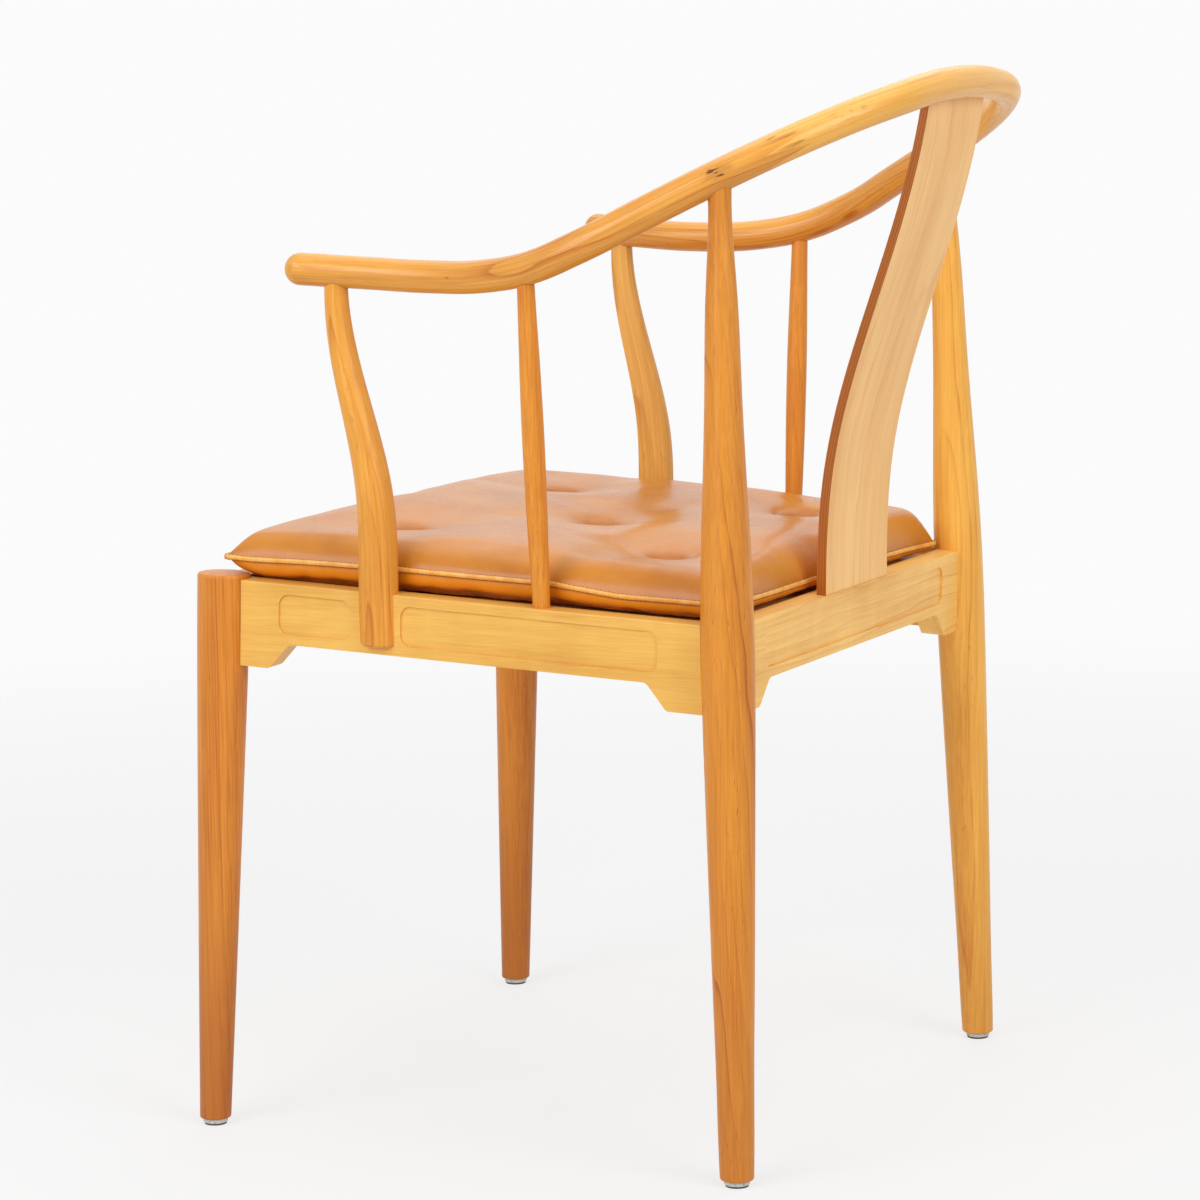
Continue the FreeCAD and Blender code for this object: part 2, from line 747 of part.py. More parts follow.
# Back splat: a bent lamination, upright at the seat and leaning back to the crest rail.
# Rows: share of the height from the rail to the crest rail, share of the lean.
SPLAT_SHARES = (
    (-0.025, 0.0),
    (0.000, 0.0),
    (0.110, 0.012),
    (0.230, 0.058),
    (0.355, 0.167),
    (0.510, 0.375),
    (0.670, 0.625),
    (0.830, 0.850),
    (0.950, 0.975),
    (1.000, 1.010),
)
splat_foot_height = size("seat_height") - seat_fall * size("splat_foot_place")
splat_rise = back_height - size("crest_radius") + size("splat_tongue") - splat_foot_height


def splat_rows(extra):
    rows = []
    centres = []
    for height_share, lean_share in SPLAT_SHARES:
        centres.append(Vector(0, size("splat_foot_place") + lean_share * size("splat_lean"),
                              splat_foot_height + height_share * splat_rise))
    centres[0].z = splat_foot_height - size("splat_tongue")
    last = len(centres) - 1
    for i, centre in enumerate(centres):
        along_it = centres[min(i + 1, last)] - centres[max(i - 1, 0)]
        if i < 2:
            along_it = Vector(0, 0, 1)
        along_it.normalize()
        across = Vector(0, along_it.z, -along_it.y)
        share = max(0.0, min(1.0, SPLAT_SHARES[i][0]))
        width = size("splat_foot_width") * (1 - share) + size("splat_top_width") * share
        thickness = size("splat_foot_thickness") * (1 - share) + size("splat_top_thickness") * share
        half_width, half_thick = width / 2 + extra, thickness / 2 + extra
        shift = along_it * (extra * (-1 if i == 0 else 1 if i == last else 0))
        corners = []
        for s, t in ((-1, -1), (1, -1), (1, 1), (-1, 1)):
            corners.append(centre + shift + Vector(s * half_width, 0, 0) + across * (t * half_thick))
        rows.append(Part.makePolygon(corners + [corners[0]]))
    return rows


back_splat = lofted("back_splat", splat_rows(0))
splat_slot = lofted("splat_slot", splat_rows(size("fit_gap")))

# Seat panel, tongued into grooves in the rails.
tongue = size("rail_outset") - size("rail_thickness") + size("panel_tongue")


def panel_outline(extra):
    front = front_seat.y - tongue - extra
    rear = rear_seat.y + tongue + extra
    slope = side_run.x / side_run.y
    edge = tongue / math.cos(math.radians(side_angle - 90)) + extra
    front_x = front_seat.x + slope * (front - front_seat.y) + edge
    rear_x = front_seat.x + slope * (rear - front_seat.y) + edge
    return (
        (repr(-front_x), repr(front)), (repr(front_x), repr(front)),
        (repr(rear_x), repr(rear)), (repr(-rear_x), repr(rear)),
    )


def panel_plate(name, extra):
    body = new_body(name)
    sketch = outline(body, name + "_outline", "XY_Plane", panel_outline(extra))
    pad(body, sketch, name + "_pad", "%s + %r" % (of("panel_thickness"), 2 * extra), reverse=True)
    body.Placement = seat * Placement(Vector(0, 0, extra - size("panel_drop")), Rotation())
    return body


panel_blank = panel_plate("panel_blank", 0)
panel_groove = panel_plate("panel_groove", size("fit_gap"))

# Corner blocks under the panel, each with two screws into the rails.
block_top = -size("panel_drop") - size("panel_thickness")


def corner_block(name, corner, first, second):
    """Block with two legs along the rails' inner faces and a slanted face between them."""
    body = new_body(name)
    leg = size("block_leg")
    points = (corner, corner + first * leg, corner + first * leg + second * (leg / 4),
              corner + first * (leg / 4) + second * leg, corner + second * leg)
    sketch = outline(body, name + "_outline", "XY_Plane", [(repr(p.x), repr(p.y)) for p in points])
    pad(body, sketch, name + "_pad", of("block_height"), reverse=True)
    body.Placement = seat * Placement(Vector(0, 0, block_top), Rotation())
    return body


side_way = Vector(side_run.x, side_run.y, 0).normalize()
side_inner = Vector(front_seat.x, front_seat.y, 0) + Vector(-side_way.y, side_way.x, 0) * (
    size("rail_thickness") - size("rail_outset"))
inner_front = front_seat.y + size("rail_thickness") - size("rail_outset")
inner_rear = rear_seat.y - size("rail_thickness") + size("rail_outset")


def inner_corner(y):
    return Vector(side_inner.x + side_way.x * (y - side_inner.y) / side_way.y, y, 0)


front_corner = inner_corner(inner_front)
rear_corner = inner_corner(inner_rear)
inwards = Vector(-1, 0, 0)
block_front = corner_block("block_front", front_corner, inwards, side_way)
block_rear = corner_block("block_rear", rear_corner, inwards, side_way * -1)


def screw(name, base, outward):
    """Countersunk screw in the seat's frame, from inside a corner block out into a rail."""
    head = base - outward * (size("screw_length") * 0.45)
    tip = head + outward * size("screw_length")
    start, end = seat.multVec(head), seat.multVec(tip)
    way = (end - start).normalize()
    inner = start - way * size("block_leg")
    shank = pin(name + "_shank", start, end, of("screw_radius"))
    cone = part("Cone", name + "_head", Radius1=of("screw_head_radius"), Radius2=of("screw_radius"),
                Height=of("screw_head_height"))
    cone.Placement = between(start, end)
    solid = fuse(name, shank, cone)
    hole = pin(name + "_hole", start, end + way * size("fit_gap"), of("screw_radius") + wide)
    seat_hole = pin(name + "_sink", inner, start + way * (size("screw_head_height") + size("fit_gap")),
                    of("screw_head_radius") + wide)
    return solid, hole, seat_hole


screw_level = block_top - size("block_height") / 2
screw_solids = []
screw_holes = {"front": [], "rear": []}
rail_holes = {"side": [], "front": [], "rear": []}
side_out = Vector(side_way.y, -side_way.x, 0)
for which, corner, way, out in (("front", front_corner, side_way, Vector(0, -1, 0)),
                                ("rear", rear_corner, side_way * -1, Vector(0, 1, 0))):
    level = Vector(0, 0, screw_level)
    reach = size("block_leg") * 0.72
    for rail, base, outward in (("side", corner + way * reach + level, side_out),
                                (which, corner + inwards * reach + level, out)):
        solid, hole, sink = screw("screw_%s_%s" % (which, rail), base, outward)
        screw_solids.append(solid)
        screw_holes[which] += [hole, sink]
        rail_holes[rail].append(hole)

# Wood pieces, cut to each other.
left_bores = fuse("left_bores", post_bore, spindle_bore)
leg_axis = (rear_top - rear_foot).normalize()
leg_pin_start = rear_top - leg_axis * (2.5 * size("crest_radius"))
leg_pin_end = rear_top + leg_axis * (size("crest_radius") / 4)
leg_pin = pin("leg_pin", leg_pin_start, leg_pin_end, of("leg_tenon_radius"))
leg_bore = pin("leg_bore", leg_pin_start, leg_pin_end + leg_axis * size("fit_gap"),
               of("leg_tenon_radius") + wide)
crest_tools_left = fuse("crest_tools_left", left_bores, leg_bore)
crest_tools_right = mirrored("crest_tools_right", crest_tools_left)
crest_bored = cut("crest_bored", crest_whole, crest_tools_left, crest_tools_right, splat_slot)

# Finger joints: a zigzag in the plane across the joint's outward normal.
FINGER_SHARE = 0.705
joint_height = size("crest_arm_height") + FINGER_SHARE * crest_rise
finger_point, finger_direction = on_crest(lambda p: abs(p.z - joint_height))
outward = Vector(finger_direction.y, -finger_direction.x, 0).normalize()
upward = outward.cross(finger_direction)
finger_place = Placement(FreeCAD.Matrix(
    finger_direction.x, upward.x, outward.x, finger_point.x,
    finger_direction.y, upward.y, outward.y, finger_point.y,
    finger_direction.z, upward.z, outward.z, finger_point.z,
    0, 0, 0, 1))
fingers = []
for i in range(-3, 4):
    tip = "%s%s / 2" % ("" if i % 2 else "-", of("finger_length"))
    fingers.append((tip, "%d * %s / 2" % (i, of("finger_pitch"))))
far_back = "-" + of("crest_depth")
wide_low = "-" + of("crest_half_span")
wide_high = of("crest_half_span")
region_corners = [(far_back, wide_low), (fingers[0][0], wide_low)] + fingers
region_corners += [(fingers[-1][0], wide_high), (far_back, wide_high)]
arm_region_left = new_body("arm_region_left")
region_sketch = outline(arm_region_left, "arm_region_outline", "XY_Plane", region_corners)
pad(arm_region_left, region_sketch, "arm_region_pad", "2.4 * " + of("crest_half_span"), midplane=True)
arm_region_left.Placement = finger_place
half_space = part("Box", "half_space", Length="2 * " + of("crest_half_span"),
                  Width="4 * " + of("crest_depth"),
                  Height="2 * (%s + %s)" % (of("crest_arm_height"), of("crest_rise")))
half_space.Placement = Placement(Vector(0, -2 * size("crest_depth"), 0), Rotation())
left_region = common("left_region", arm_region_left, half_space)
right_region = mirrored("right_region", left_region)
crest_arm_left = common("crest_arm_left", crest_bored, left_region)
crest_arm_right = mirrored("crest_arm_right", crest_arm_left)
crest_back = cut("crest_back", crest_bored, left_region, right_region)

# Rails: recessed panels, shoulders scribed to the legs, grooves, bores and tenons.
margin = size("recess_end_margin")
side_first = leg_radius["front"] + margin
side_split = along
side_last = side_length - leg_radius["rear"] - margin
half_gap = size("recess_post_margin")
recess_side_front = recess("recess_side_front", side_first, side_split - half_gap - side_first, side_place)
rear_part = side_last - side_split - half_gap
recess_side_rear = recess("recess_side_rear", side_split + half_gap, rear_part, side_place)
rear_first = leg_radius["rear"] + margin
recess_rear = recess("recess_rear", rear_first, rear_length - 2 * rear_first, rear_place)
front_first = leg_radius["front"] + margin
recess_front = recess("recess_front", front_first, front_length - 2 * front_first, front_place)
rear_room = part("Box", "rear_room")
rear_room.Length = rear_length
rear_room.Width = 2 * size("rail_thickness") + size("fit_gap")
rear_room.Height = 3 * size("rail_depth")
rear_room.Placement = rear_place * Placement(
    Vector(0, -2 * size("rail_thickness"), -2 * size("rail_depth")), Rotation())
side_cut = cut("side_cut", side_blank, recess_side_front, recess_side_rear, front_clearance, rear_clearance,
               rear_room, panel_groove, spindle_bore, *rail_holes["side"])
side_rail_left = fuse("side_rail_left", side_cut, tenons["side_front"], tenons["side_rear"])
rear_clearance_right = mirrored("rear_clearance_right", rear_clearance)
front_clearance_right = mirrored("front_clearance_right", front_clearance)
rear_hole = rail_holes["rear"][0]
front_hole = rail_holes["front"][0]
rear_hole_right = mirrored("rear_hole_right", rear_hole)
front_hole_right = mirrored("front_hole_right", front_hole)
rear_cut = cut("rear_cut", rear_blank, recess_rear, rear_clearance, rear_clearance_right, panel_groove,
               splat_slot, rear_hole, rear_hole_right)
rear_rail = fuse("rear_rail", rear_cut, tenons["rear_left"], tenons["rear_right"])
front_cut = cut("front_cut", front_blank, recess_front, front_clearance, front_clearance_right, panel_groove,
                front_hole, front_hole_right)
front_rail = fuse("front_rail", front_cut, tenons["front_left"], tenons["front_right"])

# Glides: a pale disc with a thin pad under it, nailed to each foot.
def glide(name, place):
    disc = part("Cylinder", name + "_disc", Radius=of("glide_radius"), Height=of("glide_height"))
    disc.Placement = Placement(Vector(place.x, place.y, size("pad_height")), Rotation())
    pad_disc = part("Cylinder", name + "_pad", Radius=of("glide_radius") + " - " + of("glide_rounding"),
                    Height=of("pad_height"))
    pad_disc.Placement = Placement(Vector(place.x, place.y, 0), Rotation())
    rounded = round_edges(name + "_rounded", disc, size("glide_rounding"),
                          lambda e: e.Closed and e.BoundBox.ZMin < 1.5 * size("pad_height"))
    low = Vector(place.x, place.y, size("pad_height"))
    nail_shank = pin(name + "_nail_shank", low, low + Vector(0, 0, size("nail_length")), of("nail_radius"))
    nail_head = pin(name + "_nail_head", low, low + Vector(0, 0, size("nail_head_height")),
                    of("nail_head_radius"))
    nail = fuse(name + "_nail", nail_shank, nail_head)
    bore = pin(name + "_bore", low, low + Vector(0, 0, size("nail_length") + size("fit_gap")),
               of("nail_radius") + wide)
    sink = pin(name + "_sink", low, low + Vector(0, 0, size("nail_head_height") + size("fit_gap")),
               of("nail_head_radius") + wide)
    body = cut(name, rounded, bore, sink)
    return body, pad_disc, nail, bore


glide_front_left, pad_front, nail_front, bore_front = glide("glide_front_left", front_glide_place)
glide_rear_left, pad_rear, nail_rear, bore_rear = glide("glide_rear_left", rear_glide_place)
glide_front_right = mirrored("glide_front_right", glide_front_left)
glide_rear_right = mirrored("glide_rear_right", glide_rear_left)


def group(name, *pieces):
    result = DOC.addObject("Part::Compound", name)
    result.Links = list(pieces)
    return result


glide_pads = group("glide_pads", pad_front, pad_rear, mirrored("pad_front_right", pad_front),
                   mirrored("pad_rear_right", pad_rear))
glide_nails = group("glide_nails", nail_front, nail_rear, mirrored("nail_front_right", nail_front),
                    mirrored("nail_rear_right", nail_rear))
screws_left = group("screws_left", *screw_solids)
screws_right = mirrored("screws_right", screws_left)
block_screws = group("block_screws", screws_left, screws_right)

# Legs: trimmed level at the foot, mortised, domed or scribed at the top.
trim_front = below_floor("trim_front", front_foot, "front_foot_radius")
trim_rear = below_floor("trim_rear", rear_foot, "rear_foot_radius")
dome = part("Sphere", "dome", Radius=of("leg_dome_radius"))
front_axis = (front_top - front_foot).normalize()
dome.Placement = Placement(front_top - front_axis * size("leg_dome_radius"), Rotation())
under_dome = part("Box", "under_dome")
leg_room = 4 * size("front_top_radius")
under_dome.Length = 2 * leg_room
under_dome.Width = 2 * leg_room
under_dome.Height = front_leg_height - leg_room
under_dome.Placement = Placement(Vector(front_foot.x - leg_room, front_foot.y - leg_room, 0), Rotation())
front_domed = common("front_domed", front_turned, fuse("dome_and_under", dome, under_dome))
front_trimmed = cut("front_trimmed", front_domed, trim_front)
DOC.recompute()
rim = front_top.z - size("front_top_radius") / 2
front_capped = round_edges(
    "front_capped", front_trimmed, size("leg_top_rounding"),
    lambda e: e.BoundBox.ZMin > rim and e.Length > 4 * size("front_top_radius"))
front_rounded = round_edges(
    "front_rounded", front_capped, size("foot_rounding"),
    lambda e: e.BoundBox.ZMax < ground + size("foot_rounding") and e.Length > 4 * size("front_foot_radius"))
front_leg_left = cut("front_leg_left", front_rounded, mortises["side_front"], mortises["front_left"],
                     bore_front)
rear_trimmed = cut("rear_trimmed", rear_turned, trim_rear, crest_clearance)
rear_rounded = round_edges(
    "rear_rounded", rear_trimmed, size("foot_rounding"),
    lambda e: e.BoundBox.ZMax < ground + size("foot_rounding") and e.Length > 4 * size("rear_foot_radius"))
rear_mortised = cut("rear_mortised", rear_rounded, mortises["side_rear"], mortises["rear_left"], bore_rear)
rear_leg_left = fuse("rear_leg_left", rear_mortised, leg_pin)

front_leg_right = mirrored("front_leg_right", front_leg_left)
rear_leg_right = mirrored("rear_leg_right", rear_leg_left)
side_rail_right = mirrored("side_rail_right", side_rail_left)
arm_post_right = mirrored("arm_post_right", arm_post_left)
arm_spindle_right = mirrored("arm_spindle_right", arm_spindle_left)

seat_panel = cut("seat_panel", panel_blank, front_clearance, rear_clearance, front_clearance_right,
                 rear_clearance_right)
corner_block_front_left = cut("corner_block_front_left", block_front, front_clearance, *screw_holes["front"])
corner_block_rear_left = cut("corner_block_rear_left", block_rear, rear_clearance, *screw_holes["rear"])
corner_block_front_right = mirrored("corner_block_front_right", corner_block_front_left)
corner_block_rear_right = mirrored("corner_block_rear_right", corner_block_rear_left)

# Loose seat cushion: a sewn pillow with a crown, drawn-in sides and five tufts.
# Rows: share of the length from the front edge, share of the full thickness.
CUSHION_SHARES = (
    (0.0, 0.03), (0.018, 0.30), (0.045, 0.55), (0.10, 0.80), (0.19, 0.95), (0.285, 1.0), (0.365, 1.0),
    (0.50, 1.0), (0.635, 1.0), (0.685, 1.0), (0.80, 0.95), (0.90, 0.80), (0.955, 0.55), (0.982, 0.30),
    (1.0, 0.03),
)
cushion_length = size("cushion_front_place") + size("cushion_rear_place")
post_inner = post_foot.x - POST_FLAT_SHARE * size("post_foot_radius") - size("cushion_side_gap")
spindle_inner = spindle_foot.x - size("spindle_belly_radius") - size("cushion_side_gap")
tail_place = size("cushion_rear_place") - size("rear_seat_radius")
tail_half_width = rear_seat.x - size("rail_outset") - size("cushion_side_gap")
side_places = (
    (-size("cushion_front_place"), size("cushion_front_half_width")),
    (post_foot.y - size("post_foot_radius"), post_inner),
    (post_foot.y + size("post_foot_radius"), post_inner),
    (spindle_foot.y - size("spindle_belly_radius"), spindle_inner),
    (spindle_foot.y + size("spindle_belly_radius"), spindle_inner),
    (tail_place, tail_half_width),
    (size("cushion_rear_place"), size("cushion_rear_half_width")),
)


def cushion_half_width(y):
    for (y0, w0), (y1, w1) in zip(side_places, side_places[1:]):
        if y <= y1 + 1e-9:
            return w0 + (w1 - w0) * (y - y0) / (y1 - y0)
    return side_places[-1][1]


def bulged(start, end, bulge):
    """Arc from start to end in the section's plane, bulging to the left of its chord."""
    chord = end - start
    normal = Vector(-chord.z, 0, chord.x).normalize()
    return Part.Arc(start, (start + end) * 0.5 + normal * bulge, end).toShape()


def cushion_section(y, fullness):
    half = cushion_half_width(y)
    seam = size("cushion_seam_height")
    lip = size("cushion_edge_thickness") / 2
    shoulder, rise = size("cushion_shoulder_width"), size("cushion_shoulder_rise") * fullness
    under, drop = size("cushion_under_width"), size("cushion_under_drop") * fullness
    crown = size("cushion_crown") * fullness
    belly = (size("cushion_seam_height") + size("panel_drop") - size("cushion_gap") - lip) * fullness
    top_edge, low_edge = seam + lip, seam - lip
    right_tip_high = Vector(half, y, top_edge)
    right_tip_low = Vector(half, y, low_edge)
    left_tip_high = Vector(-half, y, top_edge)
    left_tip_low = Vector(-half, y, low_edge)
    right_high = Vector(half - shoulder, y, top_edge + rise)
    left_high = Vector(shoulder - half, y, top_edge + rise)
    right_low = Vector(half - under, y, low_edge - drop)
    left_low = Vector(under - half, y, low_edge - drop)
    edges = [
        Part.LineSegment(right_tip_low, right_tip_high).toShape(),
        bulged(right_tip_high, right_high, -0.22 * rise),
        Part.Arc(right_high, Vector(0, y, top_edge + crown - lip), left_high).toShape(),
        bulged(left_high, left_tip_high, -0.22 * rise),
        Part.LineSegment(left_tip_high, left_tip_low).toShape(),
        bulged(left_tip_low, left_low, -0.22 * drop),
        Part.Arc(left_low, Vector(0, y, low_edge - belly), right_low).toShape(),
        bulged(right_low, right_tip_low, -0.22 * drop),
    ]
    return Part.Wire(edges)


cushion_wires = []
for length_share, fullness_share in CUSHION_SHARES:
    place = length_share * cushion_length - size("cushion_front_place")
    cushion_wires.append(cushion_section(place, fullness_share))
cushion_loft = lofted("cushion_loft", cushion_wires)
cushion_loft.Placement = seat
tuft_radius = (size("tuft_half_width") ** 2 + size("tuft_depth") ** 2) / (2 * size("tuft_depth"))
tuft_rise = size("cushion_seam_height") + size("cushion_crown") - size("tuft_depth") + tuft_radius
tufts = []
for i, (across, ahead) in enumerate(((0, 0), (1, 1), (-1, 1), (1, -1), (-1, -1))):
    tuft = part("Sphere", "tuft%d" % i)
    tuft.Radius = tuft_radius
    centre = Vector(across * size("tuft_half_pitch_across"),
                    -size("tuft_centre_place") - ahead * size("tuft_pitch_along"), tuft_rise)
    tuft.Placement = Placement(seat.multVec(centre), Rotation())
    tufts.append(tuft)
seat_cushion = cut("seat_cushion", cushion_loft, *tufts)

# Export: every object has to be sound before anything is written.
PIECES = (
    crest_back, crest_arm_left, crest_arm_right, rear_leg_left, rear_leg_right, front_leg_left,
    front_leg_right, side_rail_left, side_rail_right, front_rail, rear_rail, arm_post_left,
    arm_post_right, arm_spindle_left, arm_spindle_right, back_splat, seat_panel,
    corner_block_front_left, corner_block_front_right, corner_block_rear_left,
    corner_block_rear_right, block_screws, glide_front_left, glide_front_right, glide_rear_left,
    glide_rear_right, glide_pads, glide_nails, seat_cushion,
)
DOC.recompute()
for thing in DOC.Objects:
    if "Invalid" in thing.State or "Error" in thing.State:
        raise RuntimeError("%s did not compute: %s" % (thing.Name, thing.State))
for piece in PIECES:
    shape = piece.Shape
    if shape.isNull() or not shape.isValid() or not shape.Solids:
        raise RuntimeError("%s has no sound solid" % piece.Name)
os.makedirs("parts", exist_ok=True)
for piece in PIECES:
    piece.Label = piece.Name
    piece.Shape.exportStep("parts/%s.step" % piece.Name)
    print("%-28s %d solid(s) %10.0f mm3" % (piece.Name, len(piece.Shape.Solids), piece.Shape.Volume))
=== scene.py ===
import math

import bmesh
import bpy
import numpy as np
from mathutils import Matrix, Vector


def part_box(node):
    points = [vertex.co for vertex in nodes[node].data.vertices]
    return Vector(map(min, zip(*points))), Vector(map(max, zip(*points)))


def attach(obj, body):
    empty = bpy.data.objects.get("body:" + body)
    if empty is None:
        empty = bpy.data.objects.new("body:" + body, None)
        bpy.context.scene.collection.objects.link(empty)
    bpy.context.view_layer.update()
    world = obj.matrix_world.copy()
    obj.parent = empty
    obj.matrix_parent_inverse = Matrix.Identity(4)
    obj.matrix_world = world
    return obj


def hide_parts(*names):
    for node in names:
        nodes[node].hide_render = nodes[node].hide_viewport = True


# Horseshoe back armchair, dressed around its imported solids.
# Metres, +Z up, the chair faces -Y, the sitter's left is +X.

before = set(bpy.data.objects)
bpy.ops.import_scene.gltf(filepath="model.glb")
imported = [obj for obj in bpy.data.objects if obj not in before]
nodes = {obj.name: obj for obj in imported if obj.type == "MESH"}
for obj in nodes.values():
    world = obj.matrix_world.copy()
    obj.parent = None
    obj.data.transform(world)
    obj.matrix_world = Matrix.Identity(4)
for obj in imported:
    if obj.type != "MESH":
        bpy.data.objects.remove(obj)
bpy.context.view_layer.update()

# Small helpers for node trees.


def put(tree, kind, values=None, **settings):
    """Adds a node, sets its properties, and links or sets its inputs."""
    node = tree.nodes.new(kind)
    for key, value in settings.items():
        setattr(node, key, value)
    for key, value in (values or {}).items():
        if isinstance(value, bpy.types.NodeSocket):
            tree.links.new(value, node.inputs[key])
        else:
            node.inputs[key].default_value = value
    return node


def calc(tree, operation, a, b=0.0, c=0.0, clamp=False):
    return put(tree, "ShaderNodeMath", {0: a, 1: b, 2: c}, operation=operation, use_clamp=clamp).outputs[0]


def vector_calc(tree, operation, a, b=(0, 0, 0), c=(0, 0, 0)):
    return put(tree, "ShaderNodeVectorMath", {0: a, 1: b, 2: c}, operation=operation).outputs[0]


def length_of(tree, vector):
    return put(tree, "ShaderNodeVectorMath", {0: vector}, operation="LENGTH").outputs["Value"]


def scaled(tree, vector, by):
    return vector_calc(tree, "MULTIPLY", vector, by)


def noise(tree, vector, scale, detail=2.0, roughness=0.5, kind="FBM"):
    values = {"Vector": vector, "Scale": scale, "Detail": detail, "Roughness": roughness}
    return put(tree, "ShaderNodeTexNoise", values, noise_type=kind, normalize=kind == "FBM").outputs["Fac"]


def ramp(tree, value, low, high, to_low=0.0, to_high=1.0):
    values = {"Value": value, "From Min": low, "From Max": high, "To Min": to_low, "To Max": to_high}
    return put(tree, "ShaderNodeMapRange", values, interpolation_type="SMOOTHSTEP").outputs["Result"]


def tint(tree, share, a, b, how="MIX"):
    return put(tree, "ShaderNodeMix", {0: share, 6: a, 7: b}, data_type="RGBA", blend_type=how).outputs[2]


def split(tree, vector):
    return put(tree, "ShaderNodeSeparateXYZ", {0: vector}).outputs


def joined(tree, x, y, z):
    return put(tree, "ShaderNodeCombineXYZ", {0: x, 1: y, 2: z}).outputs[0]


def object_place(tree):
    return put(tree, "ShaderNodeTexCoord").outputs["Object"]


def stored(tree, name, output="Fac"):
    """An attribute that the mesh carries."""
    return put(tree, "ShaderNodeAttribute", attribute_name=name).outputs[output]


def bumped(tree, height, strength, distance):
    """Normal that follows a height."""
    values = {"Strength": strength, "Distance": distance, "Height": height}
    return put(tree, "ShaderNodeBump", values).outputs[0]


def node_group(name, inputs, outputs, kind="ShaderNodeTree"):
    """An empty node group with its sockets: the tree, what goes in, what comes out."""
    tree = bpy.data.node_groups.new(name, kind)
    for label, sort, value in inputs:
        socket = tree.interface.new_socket(label, in_out="INPUT", socket_type="NodeSocket" + sort)
        if value is not None:
            socket.default_value = value
    for label, sort in outputs:
        tree.interface.new_socket(label, in_out="OUTPUT", socket_type="NodeSocket" + sort)
    return tree, put(tree, "NodeGroupInput").outputs, put(tree, "NodeGroupOutput").inputs


def principled(name, specular=0.5, **values):
    """A material with one shader: the material, its tree and the shader."""
    material = bpy.data.materials.new(name)
    material.use_nodes = True
    tree = material.node_tree
    tree.nodes.clear()
    values["Specular IOR Level"] = specular
    shader = put(tree, "ShaderNodeBsdfPrincipled", values)
    output = put(tree, "ShaderNodeOutputMaterial", {"Surface": shader.outputs[0]})
    output.is_active_output = True
    return material, tree, shader


SPECULAR = 0.36

# Wood.

# Timber: growth rings cut along the grain, long streaks, fibres, short dark flecks,
# slow cloudiness and ripples across the grain.
timber, t_in, t_out = node_group(
    "timber",
    (("Grain", "Vector", None), ("Ring Width", "Float", 0.007), ("Wander", "Float", 0.02),
     ("Early Wood", "Color", (0.8, 0.4, 0.1, 1)), ("Late Wood", "Color", (0.6, 0.2, 0.05, 1)),
     ("Runout", "Float", 0.012), ("Line Strength", "Float", 0.6), ("Streak Strength", "Float", 1.6),
     ("Fleck Strength", "Float", 0.5), ("Ripple Strength", "Float", 0.1)),
    (("Color", "Color"), ("Roughness", "Float"), ("Height", "Float")))
spot = t_in["Grain"]
spot_parts = split(timber, spot)


def grain_noise(x, across, detail=2.0):
    """Noise stretched along the grain, around zero."""
    value = noise(timber, scaled(timber, spot, (x, across, across)), 1.0, detail)
    return calc(timber, "SUBTRACT", value, 0.5)


# Where the heart of the trunk lies beside a piece that isn't shifted.
HEART = (0.034, 0.021)
from_heart = [calc(timber, "ADD", spot_parts[i + 1], HEART[i]) for i in (0, 1)]
radius = length_of(timber, joined(timber, 0.0, *from_heart))
radius = calc(timber, "MULTIPLY_ADD", grain_noise(3.2, 15, 3.0), t_in["Wander"], radius)
radius = calc(timber, "MULTIPLY_ADD", grain_noise(11, 120), 0.0016, radius)
radius = calc(timber, "MULTIPLY_ADD", spot_parts[0], t_in["Runout"], radius)
phase = calc(timber, "DIVIDE", radius, t_in["Ring Width"])
within = calc(timber, "FRACT", phase)
year = put(timber, "ShaderNodeTexWhiteNoise", {"W": calc(timber, "FLOOR", phase)},
           noise_dimensions="1D").outputs["Value"]
# Late wood: a soft rise to a thin dark line at the year's end, which differs from year to year
# and along the grain.
line = calc(timber, "ADD", calc(timber, "POWER", within, 9.0), calc(timber, "MULTIPLY", within, 0.22))
line = calc(timber, "MULTIPLY", line, ramp(timber, within, 1.0, 0.93))
line = calc(timber, "MULTIPLY", line, ramp(timber, year, 0.0, 1.0, 0.15, 1.0))
line = calc(timber, "MULTIPLY", line, ramp(timber, grain_noise(5, 60), -0.16, 0.12, 0.25, 1.0))
line = calc(timber, "MULTIPLY", line, t_in["Line Strength"])
fibre = grain_noise(18, 1000)
streak = grain_noise(6, 430, 3.0)
cloud = grain_noise(5, 34)
ripple = noise(timber, scaled(timber, spot, (42, 9, 9)), 1.0, 2.0)
ripple = calc(timber, "MULTIPLY", calc(timber, "SUBTRACT", ripple, 0.5), t_in["Ripple Strength"])
streaks = calc(timber, "MULTIPLY_ADD", fibre, 0.9, streak)
streaks = calc(timber, "MULTIPLY", streaks, t_in["Streak Strength"])
depth = calc(timber, "MULTIPLY_ADD", cloud, 1.0, line)
depth = calc(timber, "ADD", depth, streaks)
depth = calc(timber, "ADD", depth, ripple)
depth = calc(timber, "ADD", depth, 0.24, clamp=True)
wood_colour = tint(timber, depth, t_in["Early Wood"], t_in["Late Wood"])
fleck = ramp(timber, grain_noise(85, 900, 1.0), 0.17, 0.25)
fleck = calc(timber, "MULTIPLY", fleck, ramp(timber, grain_noise(9, 70), 0.02, 0.14))
fleck = calc(timber, "MULTIPLY", fleck, t_in["Fleck Strength"])
darker = tint(timber, 1.0, wood_colour, (0.48, 0.33, 0.25, 1), "MULTIPLY")
timber.links.new(tint(timber, fleck, wood_colour, darker), t_out["Color"])
rough = calc(timber, "MULTIPLY_ADD", fibre, 0.14, 0.36)
